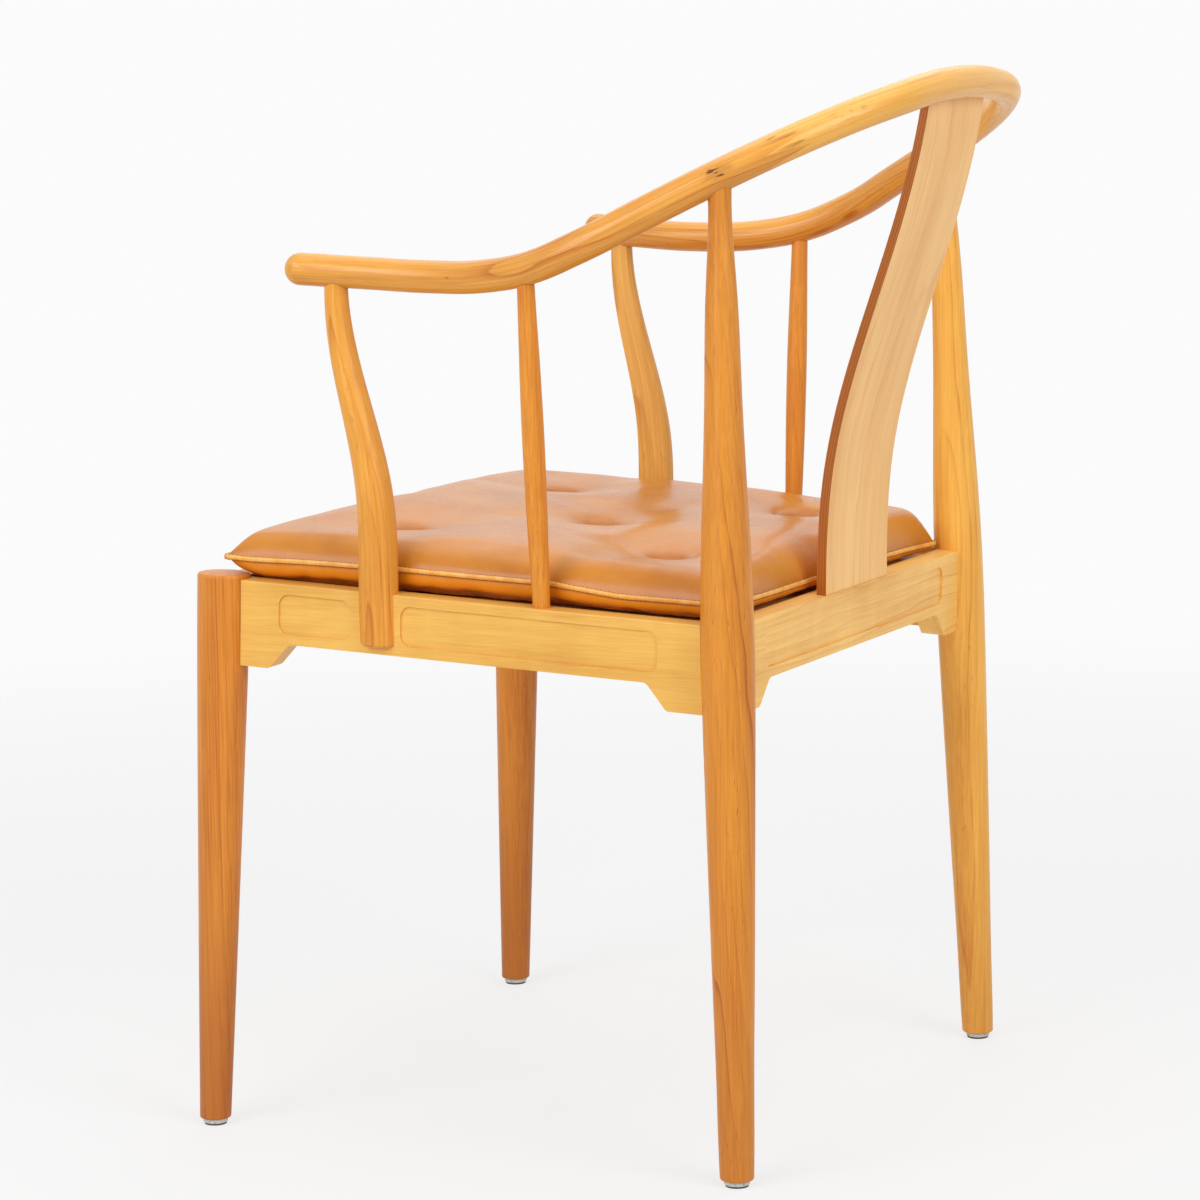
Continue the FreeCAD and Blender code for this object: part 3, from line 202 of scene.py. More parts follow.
rough = calc(timber, "MULTIPLY_ADD", cloud, 0.12, rough)
timber.links.new(calc(timber, "MULTIPLY_ADD", line, 0.05, rough), t_out["Roughness"])
bumps = calc(timber, "MULTIPLY_ADD", fleck, -1.4, fibre)
bumps = calc(timber, "MULTIPLY_ADD", streak, 0.6, bumps)
timber.links.new(calc(timber, "MULTIPLY_ADD", line, 0.4, bumps), t_out["Height"])

# Mark: a spot at one place, stretched along the grain, ragged at its rim, which may fade towards its start.
# It serves knots and joint marks, and also painted shade and a painted highlight.
wood_mark_and_painted_light, b_in, b_out = node_group(
    "wood_mark_and_painted_light",
    (("Grain", "Vector", None), ("Centre", "Vector", None), ("Half Size", "Vector", (0.01, 0.002, 0.002)),
     ("Raggedness", "Float", 0.5), ("Softness", "Float", 0.2), ("Fade", "Float", 0.0)),
    (("Mask", "Float"),))
away = vector_calc(wood_mark_and_painted_light, "SUBTRACT", b_in["Grain"], b_in["Centre"])
away = vector_calc(wood_mark_and_painted_light, "DIVIDE", away, b_in["Half Size"])
ahead = split(wood_mark_and_painted_light, away)[0]
away = length_of(wood_mark_and_painted_light, away)
ragged = noise(wood_mark_and_painted_light, scaled(wood_mark_and_painted_light, b_in["Grain"], (180, 900, 900)), 1.0, 3.0)
ragged = calc(wood_mark_and_painted_light, "MULTIPLY", calc(wood_mark_and_painted_light, "SUBTRACT", ragged, 0.5), b_in["Raggedness"])
away = calc(wood_mark_and_painted_light, "MULTIPLY_ADD", ragged, 4.0, away)
outer = calc(wood_mark_and_painted_light, "ADD", 1.0, b_in["Softness"])
inner = calc(wood_mark_and_painted_light, "SUBTRACT", 1.0, b_in["Softness"])
mask = ramp(wood_mark_and_painted_light, away, outer, inner)
faded = tint(wood_mark_and_painted_light, b_in["Fade"], (1, 1, 1, 1), ramp(wood_mark_and_painted_light, ahead, -0.9, 0.7))
wood_mark_and_painted_light.links.new(calc(wood_mark_and_painted_light, "MULTIPLY", mask, faded), b_out["Mask"])

# Tones: light early wood and darker late wood.
TONES = {
    "leg": ((0.730, 0.282, 0.032, 1), (0.430, 0.112, 0.011, 1)),
    "front_leg": ((0.730, 0.270, 0.032, 1), (0.430, 0.108, 0.012, 1)),
    # The far rear leg's tones are lighter than the near leg's: painted light on the less lit side.
    "far_leg_painted_light": ((0.950, 0.500, 0.088, 1), (0.640, 0.230, 0.032, 1)),
    "rod": ((0.820, 0.385, 0.062, 1), (0.510, 0.155, 0.017, 1)),
    "back_rod": ((0.965, 0.535, 0.108, 1), (0.670, 0.270, 0.037, 1)),
    "post": ((0.840, 0.385, 0.057, 1), (0.560, 0.175, 0.020, 1)),
    "far_post": ((0.860, 0.465, 0.104, 1), (0.590, 0.225, 0.032, 1)),
    "spindle": ((0.790, 0.310, 0.036, 1), (0.510, 0.138, 0.015, 1)),
    "rail": ((0.850, 0.487, 0.107, 1), (0.590, 0.257, 0.037, 1)),
    "rear_rail": ((0.985, 0.598, 0.163, 1), (0.705, 0.310, 0.056, 1)),
    "splat": ((0.990, 0.602, 0.218, 1), (0.725, 0.305, 0.064, 1)),
    "block": ((0.820, 0.500, 0.220, 1), (0.620, 0.310, 0.110, 1)),
}
# Turns that bring a member's own length to the pattern's first axis.
TURNS = {"X": (0, 0, 0), "Y": (0, 0, -math.pi / 2), "Z": (0, math.pi / 2, 0)}


def wood(name, tone, along=None, offset=(0, 0, 0), ring=0.007, wander=0.02, runout=0.012, lines=0.6,
         streaks=1.0, flecks=0.6, ripples=0.1, polish=0.0, marks=()):
    """Wood whose grain runs along an axis, or along the piece's own grain attribute.

    A mark holds its centre, half size, raggedness, softness, fade, shade and strength.
    """
    material, tree, shader = principled(name, SPECULAR + polish, IOR=1.45)
    place = object_place(tree) if along else stored(tree, "grain", "Vector")
    mapping = {"Vector": place, "Location": offset, "Rotation": TURNS[along or "X"]}
    moved = put(tree, "ShaderNodeMapping", mapping).outputs[0]
    early, late = TONES[tone]
    grown = put(tree, "ShaderNodeGroup", {
        "Grain": moved, "Ring Width": ring, "Wander": wander, "Early Wood": early, "Late Wood": late,
        "Runout": runout, "Line Strength": lines, "Streak Strength": streaks, "Fleck Strength": flecks,
        "Ripple Strength": ripples}, node_tree=timber).outputs
    colour = grown["Color"]
    for centre, half_size, ragged, softness, fade, shade, strength in marks:
        mark = put(tree, "ShaderNodeGroup", {
            "Grain": place, "Centre": centre, "Half Size": half_size, "Raggedness": ragged,
            "Softness": softness, "Fade": fade}, node_tree=wood_mark_and_painted_light).outputs["Mask"]
        colour = tint(tree, calc(tree, "MULTIPLY", mark, strength), colour, shade)
    tree.links.new(colour, shader.inputs["Base Color"])
    tree.links.new(calc(tree, "SUBTRACT", grown["Roughness"], polish), shader.inputs["Roughness"])
    tree.links.new(bumped(tree, grown["Height"], strength=0.16, distance=0.0003), shader.inputs["Normal"])
    return material


def dress(name, material):
    nodes[name].material_slots[0].material = material


# Legs, rails and spindles.

# Darker wood towards a leg's foot, which is painted shade, and two knots in the far rear leg.
KNOT_AND_FOOT_SHADE_BROWN = (0.330, 0.085, 0.016, 1)
FRONT_FOOT_SHADE = (((0, -0.25, 0.02), (1.0, 1.0, 0.140), 0.1, 0.9, 0.0, KNOT_AND_FOOT_SHADE_BROWN, 0.60),)
REAR_FOOT_SHADE = (((0, 0.16, 0.02), (1.0, 1.0, 0.110), 0.1, 0.9, 0.0, KNOT_AND_FOOT_SHADE_BROWN, 0.30),)
LEG_KNOTS = (
    ((-0.186, 0.190, 0.411), (0.008, 0.0045, 0.0020), 0.45, 0.25, 0.0, KNOT_AND_FOOT_SHADE_BROWN, 0.70),
    ((-0.181, 0.171, 0.342), (0.012, 0.0028, 0.0055), 0.45, 0.25, 0.0, KNOT_AND_FOOT_SHADE_BROWN, 0.55),
)
RAIL_GRAIN = {"lines": 0.22, "streaks": 0.6, "flecks": 0.2, "ripples": 0.35}
NEAR_LEG = {"tone": "leg", "wander": 0.040, "runout": 0.09, "lines": 1.3, "marks": REAR_FOOT_SHADE}
FAR_LEG = {"tone": "far_leg_painted_light", "wander": 0.018, "runout": 0.03, "lines": 1.0, "marks": REAR_FOOT_SHADE + LEG_KNOTS}
for side, shift, rear_leg in (("left", 0.0, NEAR_LEG), ("right", 1.7, FAR_LEG)):
    dress("front_leg_" + side, wood("front_leg_%s_wood" % side, "front_leg", "Z", (0.3 + shift, 0.243, 0.262),
                                    runout=0.02, lines=0.7, marks=FRONT_FOOT_SHADE))
    dress("rear_leg_" + side, wood("rear_leg_%s_wood" % side, along="Z", offset=(0.9 + shift, -0.165, 0.248),
                                   streaks=0.8, **rear_leg))
    dress("side_rail_" + side, wood("side_rail_%s_wood" % side, "rail", "Y", (0.4 + shift, 0.25, -0.36),
                                    wander=0.016, **RAIL_GRAIN))
    dress("arm_spindle_" + side, wood("arm_spindle_%s_wood" % side, "spindle", "Z",
                                      (0.2 + shift, -0.02, 0.23), ring=0.005, lines=0.7))
dress("front_rail", wood("front_rail_wood", "rail", "X", (0.7, 0.29, -0.37), **RAIL_GRAIN))
dress("rear_rail", wood("rear_rail_wood", "rear_rail", "X", (2.1, -0.14, -0.35), wander=0.03, lines=0.70,
                        streaks=0.6, flecks=0.2, ripples=0.45))

# Rods, posts and splat, whose grain follows their own bend.

# Half of the crest rail's centre line, from the arm's tip to the middle of the back.
CREST_LINE = (
    (0.2490, -0.1713, 0.6771), (0.2365, -0.1217, 0.6741), (0.2342, -0.0710, 0.6721),
    (0.2400, -0.0225, 0.6735), (0.2470, 0.0224, 0.6813), (0.2480, 0.0678, 0.6993),
    (0.2311, 0.1154, 0.7246), (0.2120, 0.1626, 0.7495), (0.1859, 0.2044, 0.7716),
    (0.1495, 0.2376, 0.7896), (0.1051, 0.2600, 0.8021), (0.0545, 0.2660, 0.8091),
    (0.0000, 0.2672, 0.8100),
)
POST_LINE = (
    (0.2393, -0.1155, 0.380), (0.2393, -0.1155, 0.430), (0.2400, -0.1165, 0.480), (0.2407, -0.1234, 0.540),
    (0.2415, -0.1352, 0.590), (0.2422, -0.1444, 0.640), (0.2429, -0.1450, 0.690),
)
SPLAT_LINE = (
    (0, 0.1734, 0.410), (0, 0.1749, 0.470), (0, 0.1780, 0.508), (0, 0.1877, 0.555), (0, 0.1967, 0.586),
    (0, 0.2065, 0.6166), (0, 0.2164, 0.647), (0, 0.2408, 0.723), (0, 0.2587, 0.790), (0, 0.2620, 0.806),
)


def dense(points, steps=24):
    """Smooth line through the points, as many short chords."""
    p = np.array(points, float)
    p = np.vstack([2 * p[0] - p[1], p, 2 * p[-1] - p[-2]])
    t = np.linspace(0, 1, steps, endpoint=False)[:, None]
    rows = []
    for a, b, c, d in zip(p, p[1:], p[2:], p[3:]):
        rows.append(0.5 * (2 * b + (c - a) * t + (2 * a - 5 * b + 4 * c - d) * t ** 2
                           + (3 * b - a - 3 * c + d) * t ** 3))
    return np.vstack(rows + [p[-2:-1]])


# Points are compared with a line in blocks, so that the table of distances stays small.
BLOCK = 2000


def along_line(points, line, up):
    """Each point's length along the line, and its two offsets across it."""
    run = np.concatenate([[0], np.cumsum(np.linalg.norm(np.diff(line, axis=0), axis=1))])
    tangent = np.gradient(line, axis=0)
    tangent /= np.linalg.norm(tangent, axis=1)[:, None]
    side = np.cross(tangent, up)
    side /= np.linalg.norm(side, axis=1)[:, None]
    over = np.cross(side, tangent)
    result = np.zeros((len(points), 3), np.float32)
    for start in range(0, len(points), BLOCK):
        rows = slice(start, start + BLOCK)
        near = ((points[rows, None] - line[None]) ** 2).sum(2).argmin(1)
        gap = points[rows] - line[near]
        result[rows, 0] = run[near] + (gap * tangent[near]).sum(1)
        result[rows, 1] = (gap * side[near]).sum(1)
        result[rows, 2] = (gap * over[near]).sum(1)
    return result


WELD_DISTANCE = 2e-6
TINY_EDGE = 1e-7
SHARP_ANGLE = math.radians(28)


def merged_copy(node, name):
    """The node's surface as one welded mesh with smooth and sharp edges of its own."""
    mesh = nodes[node].data.copy()
    mesh.name = name
    packed_normals = mesh.attributes.get("custom_normal")
    if packed_normals:
        mesh.attributes.remove(packed_normals)
    shape = bmesh.new()
    shape.from_mesh(mesh)
    bmesh.ops.remove_doubles(shape, verts=shape.verts, dist=WELD_DISTANCE)
    bmesh.ops.dissolve_degenerate(shape, edges=shape.edges, dist=TINY_EDGE)
    shape.to_mesh(mesh)
    shape.free()
    mesh.shade_smooth()
    mesh.set_sharp_from_angle(angle=SHARP_ANGLE)
    piece = bpy.data.objects.new(name, mesh)
    bpy.context.scene.collection.objects.link(piece)
    return piece


def points_of(mesh):
    flat = np.empty(len(mesh.vertices) * 3)
    mesh.vertices.foreach_get("co", flat)
    return flat.reshape(-1, 3)


def store(mesh, name, values):
    kind, field = ("FLOAT_VECTOR", "vector") if values.ndim == 2 else ("FLOAT", "value")
    attribute = mesh.attributes.new(name, kind, "POINT")
    attribute.data.foreach_set(field, values.astype(np.float32).ravel())


def shaped_mesh(piece):
    """The piece's mesh with its modifiers applied."""
    return bpy.data.meshes.new_from_object(piece.evaluated_get(bpy.context.evaluated_depsgraph_get()))


def set_material(piece, material):
    piece.data.materials.clear()
    piece.data.materials.append(material)


def finish_piece(piece, body, slot, *replaced):
    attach(piece, body)
    if replaced:
        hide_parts(*replaced)


crest_line = dense(CREST_LINE)
mirror = np.array([-1, 1, 1])
# Marks in the rods, placed along the rod and across it: knots in the arms and a painted highlight along an
# arm's top, finger tips at the joint, and faint strokes in the back.
DARK_KNOT = (0.045, 0.016, 0.012, 1)
RED_BROWN = (0.330, 0.095, 0.018, 1)
PAINTED_HIGHLIGHT = (0.920, 0.560, 0.220, 1)
ARM_MARKS = (
    ((0.3562, 0.0100, 0.0052), (0.0048, 0.0028, 0.0014), 0.70, 0.15, 0.0, DARK_KNOT, 0.95),
    ((0.3588, 0.0100, 0.0034), (0.0030, 0.0028, 0.0010), 0.70, 0.15, 0.0, DARK_KNOT, 0.90),
    ((0.3602, 0.0110, 0.0000), (0.0032, 0.0028, 0.0011), 0.50, 0.15, 0.0, DARK_KNOT, 0.90),
    ((0.3590, 0.0110, 0.0026), (0.0100, 0.0050, 0.0040), 0.50, 0.50, 0.0, RED_BROWN, 0.38),
    ((0.1306, 0.0100, 0.0007), (0.0040, 0.0022, 0.0013), 0.50, 0.20, 0.0, RED_BROWN, 0.85),
    # Painted highlight: a pale streak along the arm's top near the joint.
    ((0.3980, 0.0080, 0.0110), (0.0350, 0.0060, 0.0020), 0.30, 0.40, 0.0, PAINTED_HIGHLIGHT, 0.40),
)
JOINT_MARKS = (
    ((0.3920, 0.0070, 0.0128), (0.0140, 0.0070, 0.0009), 0.12, 0.20, 0.8, RED_BROWN, 0.36),
    ((0.4080, 0.0110, 0.0062), (0.0140, 0.0070, 0.0013), 0.12, 0.15, 0.7, RED_BROWN, 0.48),
    ((0.4030, 0.0115, 0.0086), (0.0065, 0.0050, 0.0007), 0.30, 0.30, 0.0, RED_BROWN, 0.80),
    ((0.4126, 0.0115, -0.0014), (0.0120, 0.0060, 0.0013), 0.12, 0.20, 0.6, RED_BROWN, 0.60),
)
BACK_MARKS = (
    ((0.4575, 0.0116, 0.0005), (0.0080, 0.0040, 0.0009), 0.20, 0.30, 0.6, RED_BROWN, 0.32),
    ((0.4640, 0.0116, 0.0056), (0.0016, 0.0040, 0.0007), 0.50, 0.30, 0.0, RED_BROWN, 0.34),
    ((0.4745, 0.0110, 0.0040), (0.0030, 0.0040, 0.0012), 0.50, 0.30, 0.0, RED_BROWN, 0.28),
)
for side, way in (("left", 1), ("right", -1)):
    rod = merged_copy("crest_arm_" + side, "arm_rod_" + side)
    grain = along_line(points_of(rod.data) * (way, 1, 1), crest_line, (0, 0, 1))
    store(rod.data, "grain", grain)
    set_material(rod, wood("arm_rod_%s_wood" % side, "rod", offset=(1.1 + way, 0.008, 0.012),
                           ring=0.0065, wander=0.03, lines=0.9, streaks=1.2, flecks=1.0, polish=0.09,
                           marks=ARM_MARKS + JOINT_MARKS))
    finish_piece(rod, "frame", "rail_rod_wood", "crest_arm_" + side)
    post = merged_copy("arm_post_" + side, "goose_neck_post_" + side)
    grain = along_line(points_of(post.data) * (way, 1, 1), dense(POST_LINE), (0, 1, 0))
    store(post.data, "grain", grain)
    set_material(post, wood("goose_neck_post_%s_wood" % side, "post" if way > 0 else "far_post",
                            offset=(0.6 + way, 0.02, -0.01), ring=0.0065, runout=0.03, lines=0.9))
    finish_piece(post, "frame", "post_wood", "arm_post_" + side)

rod = merged_copy("crest_back", "back_rod")
whole_line = np.vstack([crest_line, crest_line[-2::-1] * mirror])
store(rod.data, "grain", along_line(points_of(rod.data), whole_line, (0, 0, 1)))
set_material(rod, wood("back_rod_wood", "back_rod", offset=(4.2, 0.05, 0.03), ring=0.012, wander=0.03,
                       lines=0.5, streaks=0.8, polish=0.09, marks=BACK_MARKS + JOINT_MARKS))
finish_piece(rod, "frame", "rail_rod_wood", "crest_back")

# Splat: pale faces over darker glued layers, which show at its edges.
splat = merged_copy("back_splat", "bent_splat")
grain = along_line(points_of(splat.data), dense(SPLAT_LINE), (1, 0, 0))
store(splat.data, "grain", grain)
splat_wood = wood("bent_splat_wood", "splat", offset=(0.4, 0.40, 0.03), ring=0.0048, wander=0.008, lines=0.5,
                  streaks=0.6, flecks=0.3)
tree = splat_wood.node_tree
shader = next(n for n in tree.nodes if n.type == "BSDF_PRINCIPLED")
face_colour = shader.inputs["Base Color"].links[0].from_socket
lie = stored(tree, "grain", "Vector")
facing = split(tree, put(tree, "ShaderNodeNewGeometry").outputs["Normal"])[0]
edge = ramp(tree, calc(tree, "ABSOLUTE", facing), 0.70, 0.90)
LAYER_THICKNESS = 0.0011
layer = calc(tree, "PINGPONG", calc(tree, "ADD", split(tree, lie)[1], 0.02), LAYER_THICKNESS)
layer = ramp(tree, layer, 0.00015, 0.0006)
streak = noise(tree, scaled(tree, lie, (25, 900, 900)), 1.0, 2.0)
brown = tint(tree, layer, (0.260, 0.068, 0.0085, 1), (0.500, 0.160, 0.0215, 1))
brown = tint(tree, streak, brown, (0.400, 0.115, 0.0155, 1))
tree.links.new(tint(tree, edge, face_colour, brown), shader.inputs["Base Color"])
set_material(splat, splat_wood)
finish_piece(splat, "frame", "laminated_wood", "back_splat")

# Board, blocks, screws and glides.

board = wood("seat_board_wood", "block", "Y", (3.0, 0.1, 0.2), ring=0.02, wander=0.05, lines=0.3)
dress("seat_panel", board)
for i, corner in enumerate(("front_left", "front_right", "rear_left", "rear_right")):
    dress("corner_block_" + corner, wood("corner_block_%s_wood" % corner, "block", "Z", (5.0 + i, 0.1, 0.2)))


def brushed(name, base, roughness):
    """Bright steel with fine turning marks."""
    material, tree, shader = principled(name, Metallic=1.0)
    marks = noise(tree, scaled(tree, object_place(tree), (900, 900, 5200)), 1.0, 3.0)
    dull = [c * 0.72 for c in base[:3]] + [1]
    tree.links.new(tint(tree, marks, base, dull), shader.inputs["Base Color"])
    rough = ramp(tree, marks, 0.0, 1.0, roughness - 0.08, roughness + 0.10)
    tree.links.new(rough, shader.inputs["Roughness"])
    tree.links.new(bumped(tree, marks, strength=0.15, distance=0.0001), shader.inputs["Normal"])
    return material


dress("block_screws", brushed("screw_steel", (0.62, 0.60, 0.56, 1), 0.34))
dress("glide_nails", brushed("nail_steel", (0.60, 0.59, 0.56, 1), 0.30))

# Moulded glides: pale grey plastic, scuffed in patches.
glide_grey, tree, shader = principled("glide_grey")
place = object_place(tree)
speckle = noise(tree, place, 2400.0, 2.0)
scuff = ramp(tree, noise(tree, place, 260.0, 4.0, 0.65), 0.52, 0.70)
colour = tint(tree, speckle, (0.52, 0.54, 0.50, 1), (0.63, 0.65, 0.60, 1))
tree.links.new(tint(tree, scuff, colour, (0.34, 0.34, 0.31, 1)), shader.inputs["Base Color"])
tree.links.new(ramp(tree, scuff, 0.0, 1.0, 0.42, 0.62), shader.inputs["Roughness"])
tree.links.new(bumped(tree, speckle, strength=0.2, distance=0.0001), shader.inputs["Normal"])
for corner in ("front_left", "front_right", "rear_left", "rear_right"):
    dress("glide_" + corner, glide_grey)

# Pads: dark matted fibre.
pad_felt, tree, shader = principled("pad_felt", Roughness=0.95)
hair = noise(tree, scaled(tree, object_place(tree), (1, 1, 2.5)), 1700.0, 4.0, 0.7)
colour = tint(tree, hair, (0.045, 0.040, 0.036, 1), (0.150, 0.138, 0.125, 1))
tree.links.new(colour, shader.inputs["Base Color"])
tree.links.new(bumped(tree, hair, strength=0.7, distance=0.0003), shader.inputs["Normal"])
dress("glide_pads", pad_felt)

# Leather.

# Folds: two fine creases that run out from a tuft, curved and fading.
folds, f_in, f_out = node_group(
    "folds",
    (("Place", "Vector", None), ("Tuft", "Vector", None), ("Reach", "Float", 0.055), ("Bend", "Float", 2.5)),
    (("Mask", "Float"),))
# The direction that the folds run in, and how far a fold strays from its curve.
FOLD_TURN = -2.04
FOLD_WANDER = 0.007
apart = vector_calc(folds, "SUBTRACT", f_in["Place"], f_in["Tuft"])
apart = put(folds, "ShaderNodeVectorRotate", {"Vector": apart, "Axis": (0, 0, 1), "Angle": FOLD_TURN},
            rotation_type="AXIS_ANGLE").outputs[0]
apart = split(folds, apart)
length = calc(folds, "ABSOLUTE", apart[0])
wave = calc(folds, "SUBTRACT", noise(folds, f_in["Place"], 55.0, 2.0), 0.5)
middle = calc(folds, "MULTIPLY", calc(folds, "MULTIPLY", apart[0], length), f_in["Bend"])
middle = calc(folds, "MULTIPLY_ADD", wave, FOLD_WANDER, middle)
aside = calc(folds, "ABSOLUTE", calc(folds, "SUBTRACT", apart[1], middle))
fold = ramp(folds, aside, 0.0011, 0.0)
fold = calc(folds, "MULTIPLY", fold, ramp(folds, length, f_in["Reach"], 0.016))
folds.links.new(calc(folds, "MULTIPLY", fold, ramp(folds, length, 0.010, 0.018)), f_out["Mask"])

# Hide: pebbled grain, fine creases with painted shade in them, cloudy dye and rubbed places.
hide, h_in, h_out = node_group(
    "hide",
    (("Place", "Vector", None), ("Rubbed", "Float", 0.0), ("Dye", "Color", (0.62, 0.27, 0.08, 1)),
     ("Deep Dye", "Color", (0.42, 0.14, 0.03, 1)), ("Rubbed Dye", "Color", (0.80, 0.45, 0.18, 1)),
     ("Pebble Size", "Float", 0.0011)),
    (("Color", "Color"), ("Roughness", "Float"), ("Height", "Float")))
pebble_scale = calc(hide, "DIVIDE", 1.0, h_in["Pebble Size"])
values = {"Vector": h_in["Place"], "Scale": pebble_scale, "Randomness": 0.9}
pebble = put(hide, "ShaderNodeTexVoronoi", values, feature="DISTANCE_TO_EDGE").outputs["Distance"]
pebble = ramp(hide, pebble, 0.0, 0.16)
values = {"Vector": h_in["Place"], "Scale": 24.0, "Detail": 2.0}
bend = put(hide, "ShaderNodeTexNoise", values).outputs["Color"]
bent = vector_calc(hide, "MULTIPLY_ADD", bend, (0.012, 0.012, 0.012), h_in["Place"])
crease = noise(hide, scaled(hide, bent, (1.9, 0.5, 1.4)), 34.0, 2.0, 0.5)
crease = calc(hide, "ABSOLUTE", calc(hide, "SUBTRACT", crease, 0.5))
crease = ramp(hide, crease, 0.010, 0.0)
zone = ramp(hide, noise(hide, h_in["Place"], 11.0, 2.0), 0.44, 0.66)
crease = calc(hide, "MULTIPLY", crease, zone)
cloudy = noise(hide, h_in["Place"], 13.0, 3.0, 0.55)
mottle = noise(hide, scaled(hide, h_in["Place"], (1.6, 0.6, 1.4)), 120.0, 3.0, 0.6)
shade = calc(hide, "MULTIPLY_ADD", mottle, 0.40, ramp(hide, cloudy, 0.30, 0.74, 0.0, 0.60))
hide_colour = tint(hide, shade, h_in["Dye"], h_in["Deep Dye"])
# Painted shade: the creases darkened towards the deep dye.
hide_colour = tint(hide, calc(hide, "MULTIPLY", crease, 0.20), hide_colour, h_in["Deep Dye"])
worn = ramp(hide, noise(hide, h_in["Place"], 95.0, 3.0, 0.65), 0.40, 0.62)
rubbed = calc(hide, "MULTIPLY", h_in["Rubbed"], worn)
hide_colour = tint(hide, rubbed, hide_colour, h_in["Rubbed Dye"])
hide.links.new(hide_colour, h_out["Color"])
gloss = calc(hide, "MULTIPLY_ADD", pebble, -0.04, 0.225)
gloss = calc(hide, "MULTIPLY_ADD", mottle, 0.10, gloss)
hide.links.new(calc(hide, "MULTIPLY_ADD", rubbed, 0.06, gloss), h_out["Roughness"])
relief = calc(hide, "MULTIPLY_ADD", crease, -1.6, pebble)
hide.links.new(calc(hide, "MULTIPLY_ADD", mottle, 1.3, relief), h_out["Height"])


# Painted shade in the dimples and along the seam's upper side.
DIMPLE_AND_SEAM_SHADE = (0.400, 0.112, 0.012, 1)
# Painted light: the leather under the seam made brighter and warmer.
UNDERSIDE_PAINTED_LIGHT = (1.25, 1.12, 0.40, 1)


def leather(name, dye, deep, rubbed_dye, strength=0.09, tufts=()):
    """Dyed hide, with painted shade where the piece is sunk and along the seam's upper side, painted light
    below its seam, and creases at its tufts darkened by painted shade.
    """
    material, tree, shader = principled(name, SPECULAR, IOR=1.50)
    place = object_place(tree)
    skin = put(tree, "ShaderNodeGroup", {
        "Place": place, "Rubbed": stored(tree, "rubbed"), "Dye": dye, "Deep Dye": deep,
        "Rubbed Dye": rubbed_dye}, node_tree=hide).outputs
    height, colour = skin["Height"], skin["Color"]
    for number, (x, y) in enumerate(tufts):
        reach = 0.050 + 0.008 * (number % 3)
        curl = 2.6 - 1.9 * (number % 2)
        fold = put(tree, "ShaderNodeGroup", {
            "Place": place, "Tuft": (x, y, 0.0), "Reach": reach, "Bend": curl,
        }, node_tree=folds).outputs["Mask"]
        height = calc(tree, "MULTIPLY_ADD", fold, -5.0, height)
        # Painted shade: each fold darkened towards the deep dye.
        colour = tint(tree, calc(tree, "MULTIPLY", fold, 0.35), colour, deep)
    # Painted shade where the piece is sunk and along the seam's upper side.
    colour = tint(tree, stored(tree, "painted_shade"), colour, DIMPLE_AND_SEAM_SHADE)
    # Painted light below the seam.
    colour = tint(tree, stored(tree, "below"), colour, UNDERSIDE_PAINTED_LIGHT, "MULTIPLY")
    tree.links.new(colour, shader.inputs["Base Color"])
    tree.links.new(skin["Roughness"], shader.inputs["Roughness"])
    tree.links.new(bumped(tree, height, strength, distance=0.0004), shader.inputs["Normal"])
    return material


# Tufts: two in front, two behind and one in the middle.
TUFTS = [(x * way, y) for x, y in ((0.1306, -0.1514), (0.1237, 0.0739)) for way in (1, -1)]
TUFTS.append((0.0, -0.0465))
cushion_hide = leather("cushion_hide", (0.690, 0.282, 0.034, 1), (0.520, 0.165, 0.018, 1),
                       (0.800, 0.380, 0.055, 1), tufts=TUFTS)
# The welt's dyes are lighter than the cushion's: painted light on the welt, which is the same leather.
painted_light_welt_hide = leather("painted_light_welt_hide", (0.900, 0.450, 0.080, 1), (0.700, 0.280, 0.040, 1),
                    (0.950, 0.580, 0.160, 1), strength=0.06)

thread_brown, tree, shader = principled("thread_brown", Roughness=0.7)
twist = noise(tree, object_place(tree), 3800.0, 2.0)
colour = tint(tree, twist, (0.090, 0.030, 0.010, 1), (0.200, 0.070, 0.022, 1))
tree.links.new(colour, shader.inputs["Base Color"])

# Cushion.

# The cushion lies on the seat board, in the plane of the rails, which falls to the back.
SEAT_FALL = math.tan(math.radians(2.3))
RAIL_TOP = 0.4263
BOARD_DROP = 0.0054
CROWN = 0.0418
DISH = 0.0080
DISH_SIZE = (0.17, 0.16)
SEAT_CENTRE = -0.045
SHOULDER = 0.0240
SHOULDER_CURVE = (2.80, 0.850)
BULGE = 0.0018
# The seam's corners stay this far inside the ends of the CAD's block.
INSET = 0.0002
low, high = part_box("seat_cushion")
FRONT, REAR = low.y + INSET, high.y - INSET
# Along a side: share of the length from the front, half width at the seam, seam's height over
# the rails. The last two are looked up by their column.
HALF_WIDTH, SEAM_HEIGHT = 1, 2
SIDE_ROWS = np.array((
    (0.00, 0.2452, 0.0165), (0.05, 0.2410, 0.0155), (0.15, 0.2342, 0.0165), (0.22, 0.2296, 0.0165),
    (0.29, 0.2262, 0.0165), (0.38, 0.2256, 0.0172), (0.50, 0.2220, 0.0168), (0.61, 0.2182, 0.0168),
    (0.66, 0.2170, 0.0168), (0.71, 0.2162, 0.0150), (0.76, 0.2140, 0.0130), (0.80, 0.2125, 0.0116),
    (0.92, 0.2068, 0.0116), (0.97, 0.2050, 0.0114), (1.00, 0.2040, 0.0110),
))
FRONT_SEAM_MIDDLE = 0.0140
REAR_SEAM_MIDDLE = 0.0085
RIGHT_REAR_SAG = 0.0055
